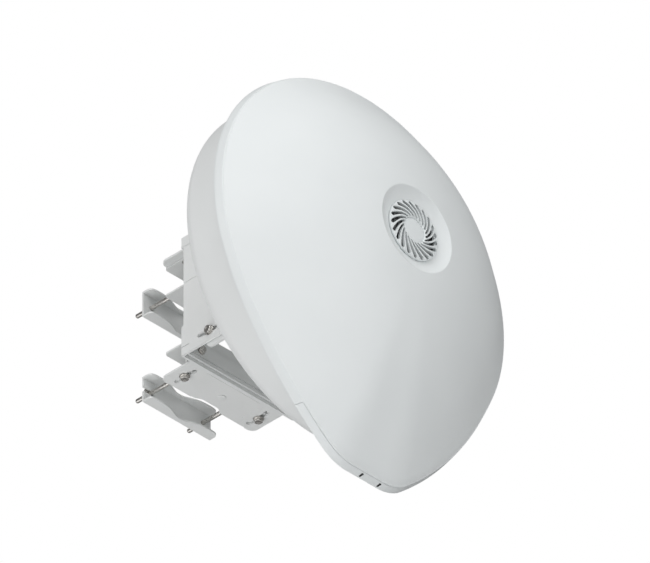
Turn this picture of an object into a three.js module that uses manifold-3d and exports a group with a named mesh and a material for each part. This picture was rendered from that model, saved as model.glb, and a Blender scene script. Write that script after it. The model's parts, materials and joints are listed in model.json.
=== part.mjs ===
// Outdoor wireless bridge: a sealed dish antenna with its radio at the focus, on a pole bracket
// that turns in azimuth and elevation.
// Millimetres. The origin is on the axis of the mast, midway between the two pole clamps.
// +Z is up, the antenna looks along -Y, and +X is on the right of someone standing in front of it.
import * as THREE from "three";
import { ParametricGeometry } from "three/addons/geometries/ParametricGeometry.js";
import { mergeVertices } from "three/addons/utils/BufferGeometryUtils.js";
import Module from "manifold-3d";

const wasm = await Module();
wasm.setup();

// ---------------------------------------------------------------- driving dimensions
const GAP = 0.4; // clearance between pieces that touch
const MAST_RADIUS = 24.15; // 1 1/2 inch pipe
const M6_RADIUS = 3;
const M6_HOLE = 3.4;
const WASHER_RADIUS = 7;
const HEAD_RADIUS = 5.7; // across the corners of a hexagon, 5 mm to its flats
const SHEET = 3; // folded steel sheet

// Dish axis and the cover in front of it
const AXIS_Z = -4.4;
const RIM_RADIUS = 254.5;
const RIM_Y = -290.5; // rear edge of the cover
const FLANK_START = 22; // degrees below the horizontal where the round rim opens into the chin
const FLANK_END = 50.2;
const FLANK_RADIUS = 580;
const CHIN_CORNER_RADIUS = 66.5;
const CHIN_SHIFT = 9.4; // how far the chin's edge leans forward
const CHIN_SHIFT_START = -137;
const BAND_DEPTH = 11.4;
const BAND_INSET = 2.5;
const FILLET_DEPTH = 3.8;
const FILLET_INSET = 6.7;
const COVER_WALL = 3;
const DOME_RADIUS = 352;
const HUB_RADIUS = 62; // round recess in the middle of the dome
const HUB_Y = -399.5;
const VENT_RADIUS = 43;
const VENT_HOLE = 37;
const VENT_FLOOR = 9; // depth of the recess behind its rim
const SEAM_Z = -279.7; // joint between the radome and the chin cover, from the dish axis
const LIP_REAR_Y = RIM_Y - 3.4; // the housing's lip lies just inside the cover's edge
const LIP_FRONT_Y = RIM_Y - 6;
const FAR = 500; // beyond the whole object

// Drain slots in the bottom of the chin
const DRAIN_X = [-6.1, 25.3];
const DRAIN_Y = -305.5;
const DRAIN_HALF_WIDTH = 2;
const DRAIN_HALF_LENGTH = 2.5;

// Rear housing
const PAN_FRONT_RADIUS = 243;
const PAN_BACK_RADIUS = 238;
const PAN_BACK_Y = -213;
const PAN_CORNER = 22;
const PAN_WALL = 3;

// Azimuth frame and pole channels
const FRAME_HALF_WIDTH = 100;
const FRAME_HALF_HEIGHT = 91;
const FRAME_REAR_Y = -77;
const FRAME_FRONT_Y = -176;
const FLANGE_HALF_WIDTH = 82.5;
const FLANGE_REAR_Y = -24.6;
const FLANGE_TAB = 2; // the rear edge stands out by this near each corner
const WINDOW_LOW_Z = -41; // the web's window runs from one side plate to the other
const WINDOW_HIGH_Z = 75;
const STEP_LOW_Z = -46; // beside it, the side plates are cut back to a straight edge
const STEP_Y = -82;
const AZIMUTH_Y = -50;
const AZIMUTH_BOLT_X = 66;
const AZIMUTH_SLOT_HALF_ANGLE = 14;
const TILT_Y = -129;
const TILT_Z = 50;
const TILT_SLOT_RADIUS = 126.5;
const TILT_SLOT_HALF_ANGLE = 8.6;
const TILT_LOCK_Z = TILT_Z - TILT_SLOT_RADIUS;

// A second plate in front of the web's lower strip
const CRADLE_HALF_WIDTH = 93;
const CRADLE_LOW_Z = -86;
const CRADLE_HIGH_Z = -36;
const CRADLE_FLOOR_Z = -60; // floor of its round-cornered notch
const CRADLE_NOTCH_HALF_WIDTH = 65;
const CRADLE_NOTCH_RADIUS = 25;
const CRADLE_BOLT_X = 70.5;
const CRADLE_BOLT_Z = -70;

// Tilt bracket on the back of the housing
const EAR_INNER = 93.2;
const EAR_OUTER = EAR_INNER + SHEET;
const EAR_REAR_Y = -119;
const EAR_LOW_Z = -98.5;
const EAR_HIGH_Z = 82;
const EAR_CORNER = 10;
const BRACKET_SCREWS = [[-60, -50], [60, -50], [-60, 60], [60, 60]];
const GROUND_Z = AXIS_Z - 196; // earth screw
const GROUND_SCREW_RADIUS = 2.5;

// Pole channels and clamp jaws
const CHANNEL_SHEET = 2.5;
const CHANNEL_HALF_WIDTH = 72;
const CHANNEL_FRONT_Y = -60;
const CHANNEL_REAR_Y = -20;
const CHANNEL_OUTER_Z = FRAME_HALF_HEIGHT - SHEET - GAP;
const CHANNEL_INNER_Z = 43.6;
const ROD_X = 46;
const ROD_Z = { upper: 63.5, lower: -68 };
const ROD_END_Y = 55.5;
const JAW_HALF_WIDTH = 60;
const JAW_HALF_HEIGHT = 19.2;
const JAW_REAR_Y = 32;

// Port bay in the chin, with heights from the dish axis
const PORT_SHELF_Z = -300;
const BOARD_Y = -304;
const BOARD_THICKNESS = 1.6;

// ---------------------------------------------------------------- materials
const finish = (color, roughness, metalness = 0) =>
  new THREE.MeshStandardMaterial({ color, roughness, metalness });
const materials = {
  cover: finish(0xe9eeee, 0.45),
  housing: finish(0xdfe2e0, 0.5),
  grille: finish(0xe4e8e8, 0.5),
  bracket: finish(0xdadddb, 0.45, 0.1),
  stainless: finish(0xa9a59c, 0.3, 1),
  reflector: finish(0xc9ccce, 0.25, 1),
  castMetal: finish(0xb4b7ba, 0.5, 0.9),
  board: finish(0x2f6b45, 0.6),
  nickel: finish(0xb9bbbd, 0.35, 1),
  blackPlastic: finish(0x26282a, 0.6),
  rubber: finish(0x2d2d2d, 0.9),
};

const HANDS = [[-1, "left"], [1, "right"]];
const inOrder = (a, b) => [Math.min(a, b), Math.max(a, b)];
const mirrorX = (points) => [...points].reverse().map(([x, y]) => [-x, y]);

// ---------------------------------------------------------------- solids
// A closed geometry as a solid. A profile may run either way round: an inside-out one is turned.
function solid(geometry) {
  const bare = geometry.index ? geometry.toNonIndexed() : geometry.clone();
  bare.deleteAttribute("normal");
  bare.deleteAttribute("uv");
  const merged = mergeVertices(bare, 1e-3);
  const vertProperties = merged.attributes.position.array;
  const triVerts = new Uint32Array(merged.index.array);
  const make = () => new wasm.Manifold(new wasm.Mesh({ numProp: 3, vertProperties, triVerts }));
  const made = make();
  if (made.volume() > 0) return made;
  for (let i = 0; i < triVerts.length; i += 3) {
    [triVerts[i + 1], triVerts[i + 2]] = [triVerts[i + 2], triVerts[i + 1]];
  }
  return make();
}

function join(...solids) {
  return solids.reduce((whole, next) => whole.add(next));
}

function cut(body, ...tools) {
  return tools.reduce((whole, next) => whole.subtract(next), body);
}

const group = new THREE.Group();

function place(name, body, material) {
  const { vertProperties, triVerts } = body.getMesh();
  const geometry = new THREE.BufferGeometry();
  geometry.setAttribute("position", new THREE.BufferAttribute(vertProperties, 3));
  geometry.setIndex(new THREE.BufferAttribute(triVerts, 1));
  geometry.computeVertexNormals();
  const mesh = new THREE.Mesh(geometry, material);
  mesh.name = name;
  group.add(mesh);
  return mesh;
}

// Sheets and blocks: an outline in one plane, extruded along the axis across it.
function extrude(shape, depth, curveSegments = 3) {
  return new THREE.ExtrudeGeometry(shape, { depth, bevelEnabled: false, curveSegments });
}

function alongZ(shape, low, high) {
  return solid(extrude(shape, high - low).translate(0, 0, low));
}

// The outline's coordinates are x and z.
function alongY(shape, low, high) {
  return solid(extrude(shape, high - low).rotateX(Math.PI / 2).translate(0, high, 0));
}

// The outline's coordinates are y and z.
function alongX(shape, low, high) {
  const turn = new THREE.Matrix4().makeBasis(
    new THREE.Vector3(0, 1, 0),
    new THREE.Vector3(0, 0, 1),
    new THREE.Vector3(1, 0, 0),
  );
  return solid(extrude(shape, high - low).applyMatrix4(turn).translate(low, 0, 0));
}

function box(low, high) {
  const size = high.map((value, i) => value - low[i]);
  const middle = high.map((value, i) => (value + low[i]) / 2);
  return solid(new THREE.BoxGeometry(...size).translate(...middle));
}

// A cylinder along "x", "y" or "z" between two stations, centred on the other two coordinates.
function cylinder(axis, radius, low, high, centre, segments = 16) {
  const geometry = new THREE.CylinderGeometry(radius, radius, high - low, segments);
  if (axis === "x") geometry.rotateZ(-Math.PI / 2);
  if (axis === "z") geometry.rotateX(Math.PI / 2);
  const middle = (low + high) / 2;
  const at = { x: [middle, ...centre], y: [centre[0], middle, centre[1]], z: [...centre, middle] };
  return solid(geometry.translate(...at[axis]));
}

// A body of revolution about the dish axis, from [radius, y] points.
function turned(profile, segments = 48) {
  const points = profile.map(([radius, y]) => new THREE.Vector2(radius, y));
  return solid(new THREE.LatheGeometry(points, segments).translate(0, 0, AXIS_Z));
}

function ring(axis, outer, inner, low, high, centre, segments = 16) {
  const hole = cylinder(axis, inner, low - 1, high + 1, centre, segments);
  return cut(cylinder(axis, outer, low, high, centre, segments), hole);
}

const polygon = (points) => new THREE.Shape(points.map(([a, b]) => new THREE.Vector2(a, b)));

function roundedRectangle(left, bottom, right, top, radius) {
  const shape = new THREE.Shape();
  shape.moveTo(left + radius, bottom);
  shape.lineTo(right - radius, bottom);
  shape.absarc(right - radius, bottom + radius, radius, -Math.PI / 2, 0);
  shape.lineTo(right, top - radius);
  shape.absarc(right - radius, top - radius, radius, 0, Math.PI / 2);
  shape.lineTo(left + radius, top);
  shape.absarc(left + radius, top - radius, radius, Math.PI / 2, Math.PI);
  shape.lineTo(left, bottom + radius);
  shape.absarc(left + radius, bottom + radius, radius, Math.PI, 1.5 * Math.PI);
  return shape;
}

// A slot that bends round a pivot, with round ends.
function arcSlot(pivotA, pivotB, radius, middleDegrees, halfDegrees, halfWidth) {
  const start = THREE.MathUtils.degToRad(middleDegrees - halfDegrees);
  const end = THREE.MathUtils.degToRad(middleDegrees + halfDegrees);
  const endCentre = (angle) => [pivotA + radius * Math.cos(angle), pivotB + radius * Math.sin(angle)];
  const shape = new THREE.Shape();
  shape.absarc(pivotA, pivotB, radius + halfWidth, start, end);
  shape.absarc(...endCentre(end), halfWidth, end, end + Math.PI);
  shape.absarc(pivotA, pivotB, radius - halfWidth, end, start, true);
  shape.absarc(...endCentre(start), halfWidth, start + Math.PI, start + 2 * Math.PI);
  return shape;
}

// ---------------------------------------------------------------- the cover's outline
// Half of the outline from the top to the bottom: the round rim, a long flank arc and a corner arc,
// each tangent to the one before it. The flat bottom joins the two halves.
function coverOutline() {
  const half = [];
  let centre = new THREE.Vector2(0, 0);
  let radius = RIM_RADIUS;
  const follow = (nextRadius, from, to, steps) => {
    const start = THREE.MathUtils.degToRad(from);
    const normal = new THREE.Vector2(Math.cos(start), Math.sin(start));
    centre = centre.clone().addScaledVector(normal, radius - nextRadius);
    radius = nextRadius;
    for (let i = half.length ? 1 : 0; i <= steps; i++) {
      const angle = THREE.MathUtils.degToRad(from + ((to - from) * i) / steps);
      half.push(new THREE.Vector2(
        centre.x + radius * Math.cos(angle),
        centre.y + radius * Math.sin(angle),
      ));
    }
  };
  follow(RIM_RADIUS, 90, 0, 11);
  follow(RIM_RADIUS, 0, -FLANK_START, 3);
  follow(FLANK_RADIUS, -FLANK_START, -FLANK_END, 5);
  follow(CHIN_CORNER_RADIUS, -FLANK_END, -90, 5);
  const mirrored = half.slice(1).reverse().map((p) => new THREE.Vector2(-p.x, p.y));
  return [...half, ...mirrored];
}

// Each ray runs from the dish axis to a point of the outline.
const CHIN_Z = Math.min(...coverOutline().map((p) => p.y));
const rays = coverOutline().map((p) => {
  const reach = p.length();
  const down = (CHIN_SHIFT_START - p.y) / (CHIN_SHIFT_START - CHIN_Z);
  const shift = CHIN_SHIFT * Math.min(Math.max(down, 0), 1);
  return { x: p.x / reach, z: p.y / reach, reach, shift };
});

// A closed ring round the dish axis. Each station gives a distance along the ray and a y.
function ringLoft(stations) {
  const corner = (u, v, target) => {
    const ray = rays[Math.round(u * rays.length) % rays.length];
    const station = stations[Math.round(v * stations.length) % stations.length];
    const [distance, y] = station(ray);
    target.set(ray.x * distance, y, ray.z * distance + AXIS_Z);
  };
  return solid(new ParametricGeometry(corner, rays.length, stations.length));
}

const DOME_INSET = BAND_INSET + FILLET_INSET;
const DOME_EDGE_RADIUS = RIM_RADIUS - DOME_INSET;
const DOME_CENTRE_Y = HUB_Y + Math.sqrt(DOME_RADIUS ** 2 - HUB_RADIUS ** 2);

// The dome is a sphere in its round part, stretched along each ray to reach the chin.
function domeStation(share, wall = 0) {
  return (ray) => {
    const distance = HUB_RADIUS + share * (ray.reach - DOME_INSET - HUB_RADIUS);
    const roundRadius = HUB_RADIUS + share * (DOME_EDGE_RADIUS - HUB_RADIUS);
    const y = DOME_CENTRE_Y - Math.sqrt(DOME_RADIUS ** 2 - roundRadius ** 2);
    return [distance - wall * share, y - ray.shift * share ** 2 + wall];
  };
}

const edgeStation = (inset, y) => (ray) => [ray.reach - inset, y - ray.shift];
const roundStation = (radius, y) => () => [radius, y];
const DOME_SHARES = [1, 0.9, 0.75, 0.5, 0.25, 0];

function coverShell() {
  const bandY = RIM_Y - BAND_DEPTH;
  const floorY = HUB_Y + VENT_FLOOR;
  const bowlRadius = HUB_RADIUS - 8;
  const innerShares = DOME_SHARES.filter((share) => share > 0).reverse();
  return ringLoft([
    edgeStation(0, RIM_Y),
    edgeStation(BAND_INSET, bandY),
    edgeStation(BAND_INSET + 0.3 * FILLET_INSET, bandY - 0.7 * FILLET_DEPTH),
    ...DOME_SHARES.map((share) => domeStation(share)),
    roundStation(bowlRadius, HUB_Y + 0.6 * VENT_FLOOR),
    roundStation(VENT_HOLE, floorY),
    roundStation(VENT_HOLE, floorY + COVER_WALL),
    roundStation(bowlRadius - COVER_WALL, floorY + COVER_WALL),
    ...innerShares.map((share) => domeStation(share, COVER_WALL)),
    edgeStation(BAND_INSET + COVER_WALL, bandY),
    edgeStation(COVER_WALL, RIM_Y),
  ]);
}

// ---------------------------------------------------------------- cover pieces
function addCover() {
  const seam = AXIS_Z + SEAM_Z;
  const below = (z) => box([-FAR, -FAR, -FAR], [FAR, 0, z]);
  const bandFront = RIM_Y - BAND_DEPTH;
  // What the chin cover takes from the shell: its rim behind the fillet, below the seam.
  const reach = 20;
  const bandZone = (grow) => ringLoft([
    edgeStation(-reach, RIM_Y + reach),
    edgeStation(-reach, bandFront - grow),
    edgeStation(reach, bandFront - grow),
    edgeStation(reach, RIM_Y + reach),
  ]);
  const shell = coverShell();
  place("front_radome", cut(shell, bandZone(0).intersect(below(seam))), materials.cover);

  const plateInset = 1;
  const plateInnerRadius = PAN_FRONT_RADIUS - 6;
  const backPlate = ringLoft([
    edgeStation(plateInset, LIP_REAR_Y),
    edgeStation(plateInset, LIP_FRONT_Y),
    roundStation(plateInnerRadius, LIP_FRONT_Y),
    roundStation(plateInnerRadius, LIP_REAR_Y),
  ]);
  const strip = shell.intersect(bandZone(-GAP));
  const chin = join(strip, backPlate).intersect(below(seam - GAP));
  const chinFloor = CHIN_Z + AXIS_Z;
  const drains = DRAIN_X.map((x) => box(
    [x - DRAIN_HALF_WIDTH, DRAIN_Y - DRAIN_HALF_LENGTH, chinFloor - 5],
    [x + DRAIN_HALF_WIDTH, DRAIN_Y + DRAIN_HALF_LENGTH, chinFloor + 6],
  ));
  place("chin_cover", cut(chin, ...drains), materials.cover);
}

// The vent: a disc of curved slots over the heat sink, with a small round cap set into it.
function addVent() {
  const slots = 21;
  const swirl = 0.55; // radians that a slot turns between its two ends
  const inner = 20;
  const outer = 39.5;
  const slotHalfWidth = 2.2;
  const thickness = 5;
  const face = new THREE.Shape().absarc(0, 0, VENT_RADIUS - GAP, 0, 2 * Math.PI);
  for (let i = 0; i < slots; i++) {
    const start = (2 * Math.PI * i) / slots;
    const edge = (share, side) => {
      const radius = inner + share * (outer - inner);
      const spread = (side * slotHalfWidth * (0.5 + 0.7 * share)) / radius;
      const angle = start + swirl * share ** 1.3 + spread;
      return new THREE.Vector2(radius * Math.cos(angle), radius * Math.sin(angle));
    };
    const shares = [0, 0.5, 1];
    const hole = [...shares.map((s) => edge(s, 1)), ...shares.reverse().map((s) => edge(s, -1))];
    face.holes.push(new THREE.Path(hole));
  }
  const rear = HUB_Y + VENT_FLOOR - 1 - GAP;
  const settings = { depth: thickness, bevelEnabled: false, curveSegments: 16 };
  const geometry = new THREE.ExtrudeGeometry(face, settings);
  geometry.rotateX(Math.PI / 2).translate(0, rear, AXIS_Z);

  const capRadius = 17.4;
  const capRear = rear - 1.6;
  const pocket = cylinder("y", capRadius + GAP, rear - 2 * thickness, capRear + GAP, [0, AXIS_Z], 24);
  place("vent_grille", cut(solid(geometry), pocket), materials.grille);
  place("vent_cap", turned([
    [0, capRear - 1.4],
    [0.8 * capRadius, capRear - 1.2],
    [capRadius, capRear - 0.5],
    [capRadius, capRear],
    [0, capRear],
  ], 24), materials.grille);
}

// ---------------------------------------------------------------- housing and reflector
function addHousing() {
  const cornerSteps = 3;
  const back = (radius, y, corner) => {
    const points = [];
    for (let i = 0; i <= cornerSteps; i++) {
      const angle = (Math.PI / 2) * (i / cornerSteps);
      points.push([
        radius - corner + corner * Math.cos(angle),
        y - corner + corner * Math.sin(angle),
      ]);
    }
    return points;
  };
  const frontY = LIP_FRONT_Y + 0.5;
  const outside = back(PAN_BACK_RADIUS, PAN_BACK_Y, PAN_CORNER);
  const inside = back(PAN_BACK_RADIUS - PAN_WALL, PAN_BACK_Y - PAN_WALL, PAN_CORNER - PAN_WALL);
  const pan = turned([
    [PAN_FRONT_RADIUS, frontY],
    ...outside,
    [0, PAN_BACK_Y],
    [0, PAN_BACK_Y - PAN_WALL],
    ...inside.reverse(),
    [PAN_FRONT_RADIUS - PAN_WALL, frontY],
    [PAN_FRONT_RADIUS, frontY],
  ], 48);
  const lipInset = COVER_WALL + BAND_INSET;
  const lipInnerRadius = PAN_FRONT_RADIUS - 2;
  const lip = ringLoft([
    edgeStation(lipInset, LIP_REAR_Y),
    edgeStation(lipInset, LIP_FRONT_Y),
    roundStation(lipInnerRadius, LIP_FRONT_Y),
    roundStation(lipInnerRadius, LIP_REAR_Y),
  ]);
  const above = box([-FAR, -FAR, AXIS_Z + SEAM_Z + GAP], [FAR, 0, FAR]);
  const holes = [];
  for (const [x, z] of BRACKET_SCREWS) {
    holes.push(cylinder("y", M6_HOLE, PAN_BACK_Y - 10, PAN_BACK_Y + 5, [x, z], 8));
  }
  const groundHole = GROUND_SCREW_RADIUS + GAP;
  holes.push(cylinder("y", groundHole, PAN_BACK_Y - 10, PAN_BACK_Y + 5, [0, GROUND_Z], 8));
  place("rear_housing", cut(join(pan, lip.intersect(above)), ...holes), materials.housing);

  const gasketOuter = 7;
  const gasketInner = 11;
  const gasketRear = LIP_FRONT_Y - GAP;
  const gasketFront = RIM_Y - 9;
  const gasket = ringLoft([
    edgeStation(gasketOuter, gasketRear),
    edgeStation(gasketOuter, gasketFront),
    edgeStation(gasketInner, gasketFront),
    edgeStation(gasketInner, gasketRear),
  ]);
  place("housing_gasket", gasket, materials.rubber);
}

function addReflector() {
  const focal = 190;
  const vertexY = -221;
  const thickness = 2;
  const radii = [28, 90, 140, 190, 232];
  const front = radii.map((r) => [r, vertexY - r ** 2 / (4 * focal)]);
  const rear = front.map(([r, y]) => [r, y + thickness]).reverse();
  const body = turned([...front, ...rear, front[0]], 36);
  place("parabolic_reflector", body, materials.reflector);
  const plugRadius = radii[0] - 0.6;
  const plugFront = vertexY - 5;
  const plugRear = vertexY + 1.6;
  place("reflector_hub", turned([
    [0, plugFront],
    [0.8 * plugRadius, plugFront],
    [plugRadius, vertexY - 1],
    [plugRadius, plugRear],
    [0, plugRear],
  ], 20), materials.blackPlastic);
}

// ---------------------------------------------------------------- radio at the focus
function addRadio() {
  const sinkFront = -384;
  const sinkThickness = 4;
  const sinkRadius = 46;
  const sinkRear = sinkFront + sinkThickness;
  const base = turned([[0, sinkFront], [sinkRadius, sinkFront], [sinkRadius, sinkRear], [0, sinkRear]], 24);
  const fins = [];
  const finPitch = 8;
  const finReach = 33; // the fins fill a circle of this radius
  for (let x = -3.5 * finPitch; x <= 3.5 * finPitch; x += finPitch) {
    const half = Math.sqrt(finReach ** 2 - x ** 2);
    const low = [x - 1, sinkFront - 3.2, AXIS_Z - half];
    const high = [x + 1, sinkFront + 1, AXIS_Z + half];
    fins.push(box(low, high));
  }
  place("heat_sink", join(base, ...fins), materials.castMetal);

  const caseFront = sinkRear + GAP;
  const caseBack = -350;
  const caseRadius = 50;
  const wall = 2.5;
  const neck = 9.6;
  place("radio_case", turned([
    [neck, caseBack],
    [neck, caseBack - wall],
    [caseRadius - wall, caseBack - wall],
    [caseRadius - wall, caseFront],
    [caseRadius, caseFront],
    [caseRadius, caseBack - 4],
    [caseRadius - 4, caseBack],
    [neck, caseBack],
  ], 24), materials.castMetal);

  const boardFront = caseFront + 4;
  const boardRear = boardFront + BOARD_THICKNESS;
  const boardRadius = 45;
  place("radio_board", turned([
    [0, boardFront],
    [boardRadius, boardFront],
    [boardRadius, boardRear],
    [0, boardRear],
  ], 24), materials.board);

  const hornFront = boardRear + GAP;
  const hornRear = caseBack + 24;
  const throat = 6;
  const mouth = 22;
  place("feed_horn", turned([
    [throat, hornFront],
    [throat + 3, hornFront],
    [throat + 3, caseBack + 6],
    [mouth, hornRear],
    [mouth - 2, hornRear],
    [throat, caseBack + 5],
    [throat, hornFront],
  ], 16), materials.reflector);
}

// The lead from the port bay to the radio, clipped behind the dome.
function addRadioLead() {
  const route = new THREE.CatmullRomCurve3([
    new THREE.Vector3(0, BOARD_Y - 5.2, AXIS_Z - 262),
    new THREE.Vector3(0, -316, AXIS_Z - 236),
    new THREE.Vector3(0, -345, AXIS_Z - 180),
    new THREE.Vector3(0, -364, AXIS_Z - 120),
    new THREE.Vector3(0, -370, AXIS_Z - 70),
    new THREE.Vector3(0, -368, AXIS_Z - 51),
  ]);
  const section = new THREE.Shape().absarc(0, 0, 2.5, 0, 2 * Math.PI);
  const tube = new THREE.ExtrudeGeometry(section, { steps: 12, extrudePath: route, curveSegments: 3 });
  place("radio_lead", solid(tube), materials.rubber);
}

// ---------------------------------------------------------------- port bay
function addPorts() {
  const shelf = AXIS_Z + PORT_SHELF_Z;
  const shelfLow = shelf - 2;
  const socketRear = BOARD_Y - 2;
  // A socket opens downwards through the shelf. Returns what it takes out of the shelf.
  const socket = (name, middleX, width, depth, height, wall) => {
    const low = [middleX - width / 2, socketRear - depth, shelf + GAP];
    const high = [middleX + width / 2, socketRear, shelf + GAP + height];
    const mouthLow = [low[0] + wall, low[1] + wall];
    const mouthHigh = [high[0] - wall, high[1] - wall];
    const mouth = box([...mouthLow, low[2] - 1], [...mouthHigh, high[2] - 3 * wall]);
    place(name, cut(box(low, high), mouth), materials.nickel);
    return box([...mouthLow, shelfLow - 1], [...mouthHigh, shelf + 1]);
  };
  const jackMouth = socket("ethernet_jack", -32, 16, 13.5, 21, 1.6);
  const cageMouth = socket("fibre_cage", 32, 15, 10, 38, 1.2);

  const buttonAt = [0, BOARD_Y - 9];
  const buttonRadius = 1.6;
  const buttonHole = cylinder("z", buttonRadius + GAP, shelfLow - 1, shelf + 1, buttonAt, 12);
  const panel = box([-50, BOARD_Y - 16, shelfLow], [52, BOARD_Y - GAP, shelf]);
  place("port_shelf", cut(panel, jackMouth, cageMouth, buttonHole), materials.blackPlastic);
  const button = join(
    cylinder("z", buttonRadius, shelf - 4, shelf + 8, buttonAt, 8),
    cylinder("z", 2 * buttonRadius, shelf + 1.6, shelf + 4, buttonAt, 8),
  );
  place("reset_button", button, materials.blackPlastic);

  const boardLow = [-56, BOARD_Y - BOARD_THICKNESS, shelf + 2];
  place("main_board", box(boardLow, [56, BOARD_Y, shelf + 50]), materials.board);
}

// ---------------------------------------------------------------- fasteners
// A bolt with a washer face along one axis. Its head stands on `seat` and points along `side`.
function bolt(axis, seat, end, side, centre, radius = M6_RADIUS) {
  const washerTop = seat + side * 1.8;
  const headTop = seat + side * 5.6;
  return join(
    cylinder(axis, radius, ...inOrder(seat + side, end), centre, 8),
    cylinder(axis, WASHER_RADIUS, ...inOrder(seat + side * GAP, washerTop), centre, 12),
    cylinder(axis, HEAD_RADIUS, ...inOrder(washerTop - side * 0.3, headTop), centre, 6),
  );
}

function nut(axis, seat, side, centre) {
  const flangeTop = seat + side * 1.4;
  const top = seat + side * 5.6;
  const body = join(
    cylinder(axis, WASHER_RADIUS, ...inOrder(seat, flangeTop), centre, 12),
    cylinder(axis, HEAD_RADIUS, ...inOrder(flangeTop - side * 0.2, top), centre, 6),
  );
  return cut(body, cylinder(axis, M6_HOLE, ...inOrder(seat - side, top + side), centre, 8));
}

// ---------------------------------------------------------------- tilt bracket
function addTiltBracket() {
  const plateFront = PAN_BACK_Y + GAP;
  const plateRear = plateFront + SHEET;
  const plateLow = EAR_LOW_Z + 20.5;
  const outline = roundedRectangle(-EAR_OUTER, plateLow, EAR_OUTER, EAR_HIGH_Z, SHEET);
  const plate = alongY(outline, plateFront, plateRear);
  const windowCut = alongY(roundedRectangle(-40, -40, 40, 45, 12), plateFront - 1, plateRear + 1);
  const ear = roundedRectangle(plateFront, EAR_LOW_Z, EAR_REAR_Y, EAR_HIGH_Z, EAR_CORNER);
  const middle = (plateFront + EAR_REAR_Y) / 2;
  const square = polygon([
    [plateFront, EAR_LOW_Z],
    [middle, EAR_LOW_Z],
    [middle, EAR_HIGH_Z],
    [plateFront, EAR_HIGH_Z],
  ]);
  const ears = [-EAR_OUTER, EAR_INNER].map((x) =>
    join(alongX(ear, x, x + SHEET), alongX(square, x, x + SHEET)));
  const through = [TILT_Z, TILT_LOCK_Z].map((z) =>
    cylinder("x", M6_HOLE, -FAR, FAR, [TILT_Y, z], 8));
  const screwHoles = BRACKET_SCREWS.map((at) =>
    cylinder("y", M6_HOLE, plateFront - 1, plateRear + 1, at, 8));
  const bracket = cut(join(plate, ...ears), windowCut, ...through, ...screwHoles);
  place("tilt_bracket", bracket, materials.bracket);

  BRACKET_SCREWS.forEach((at, i) => {
    const screw = bolt("y", plateRear, PAN_BACK_Y - 7, 1, at);
    place(`bracket_screw_${i + 1}`, screw, materials.stainless);
  });
  const groundScrew = bolt("y", PAN_BACK_Y, PAN_BACK_Y - 7, 1, [0, GROUND_Z], GROUND_SCREW_RADIUS);
  place("ground_screw", groundScrew, materials.stainless);

  for (const [side, word] of HANDS) {
    const seat = side * FRAME_HALF_WIDTH;
    const end = side * (EAR_INNER - 9.2);
    const nutSeat = side * (EAR_INNER - GAP);
    for (const [name, z] of [["pivot", TILT_Z], ["lock", TILT_LOCK_Z]]) {
      const at = [TILT_Y, z];
      place(`tilt_${name}_bolt_${word}`, bolt("x", seat, end, side, at), materials.stainless);
      place(`tilt_${name}_nut_${word}`, nut("x", nutSeat, -side, at), materials.stainless);
    }
  }
}

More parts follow.
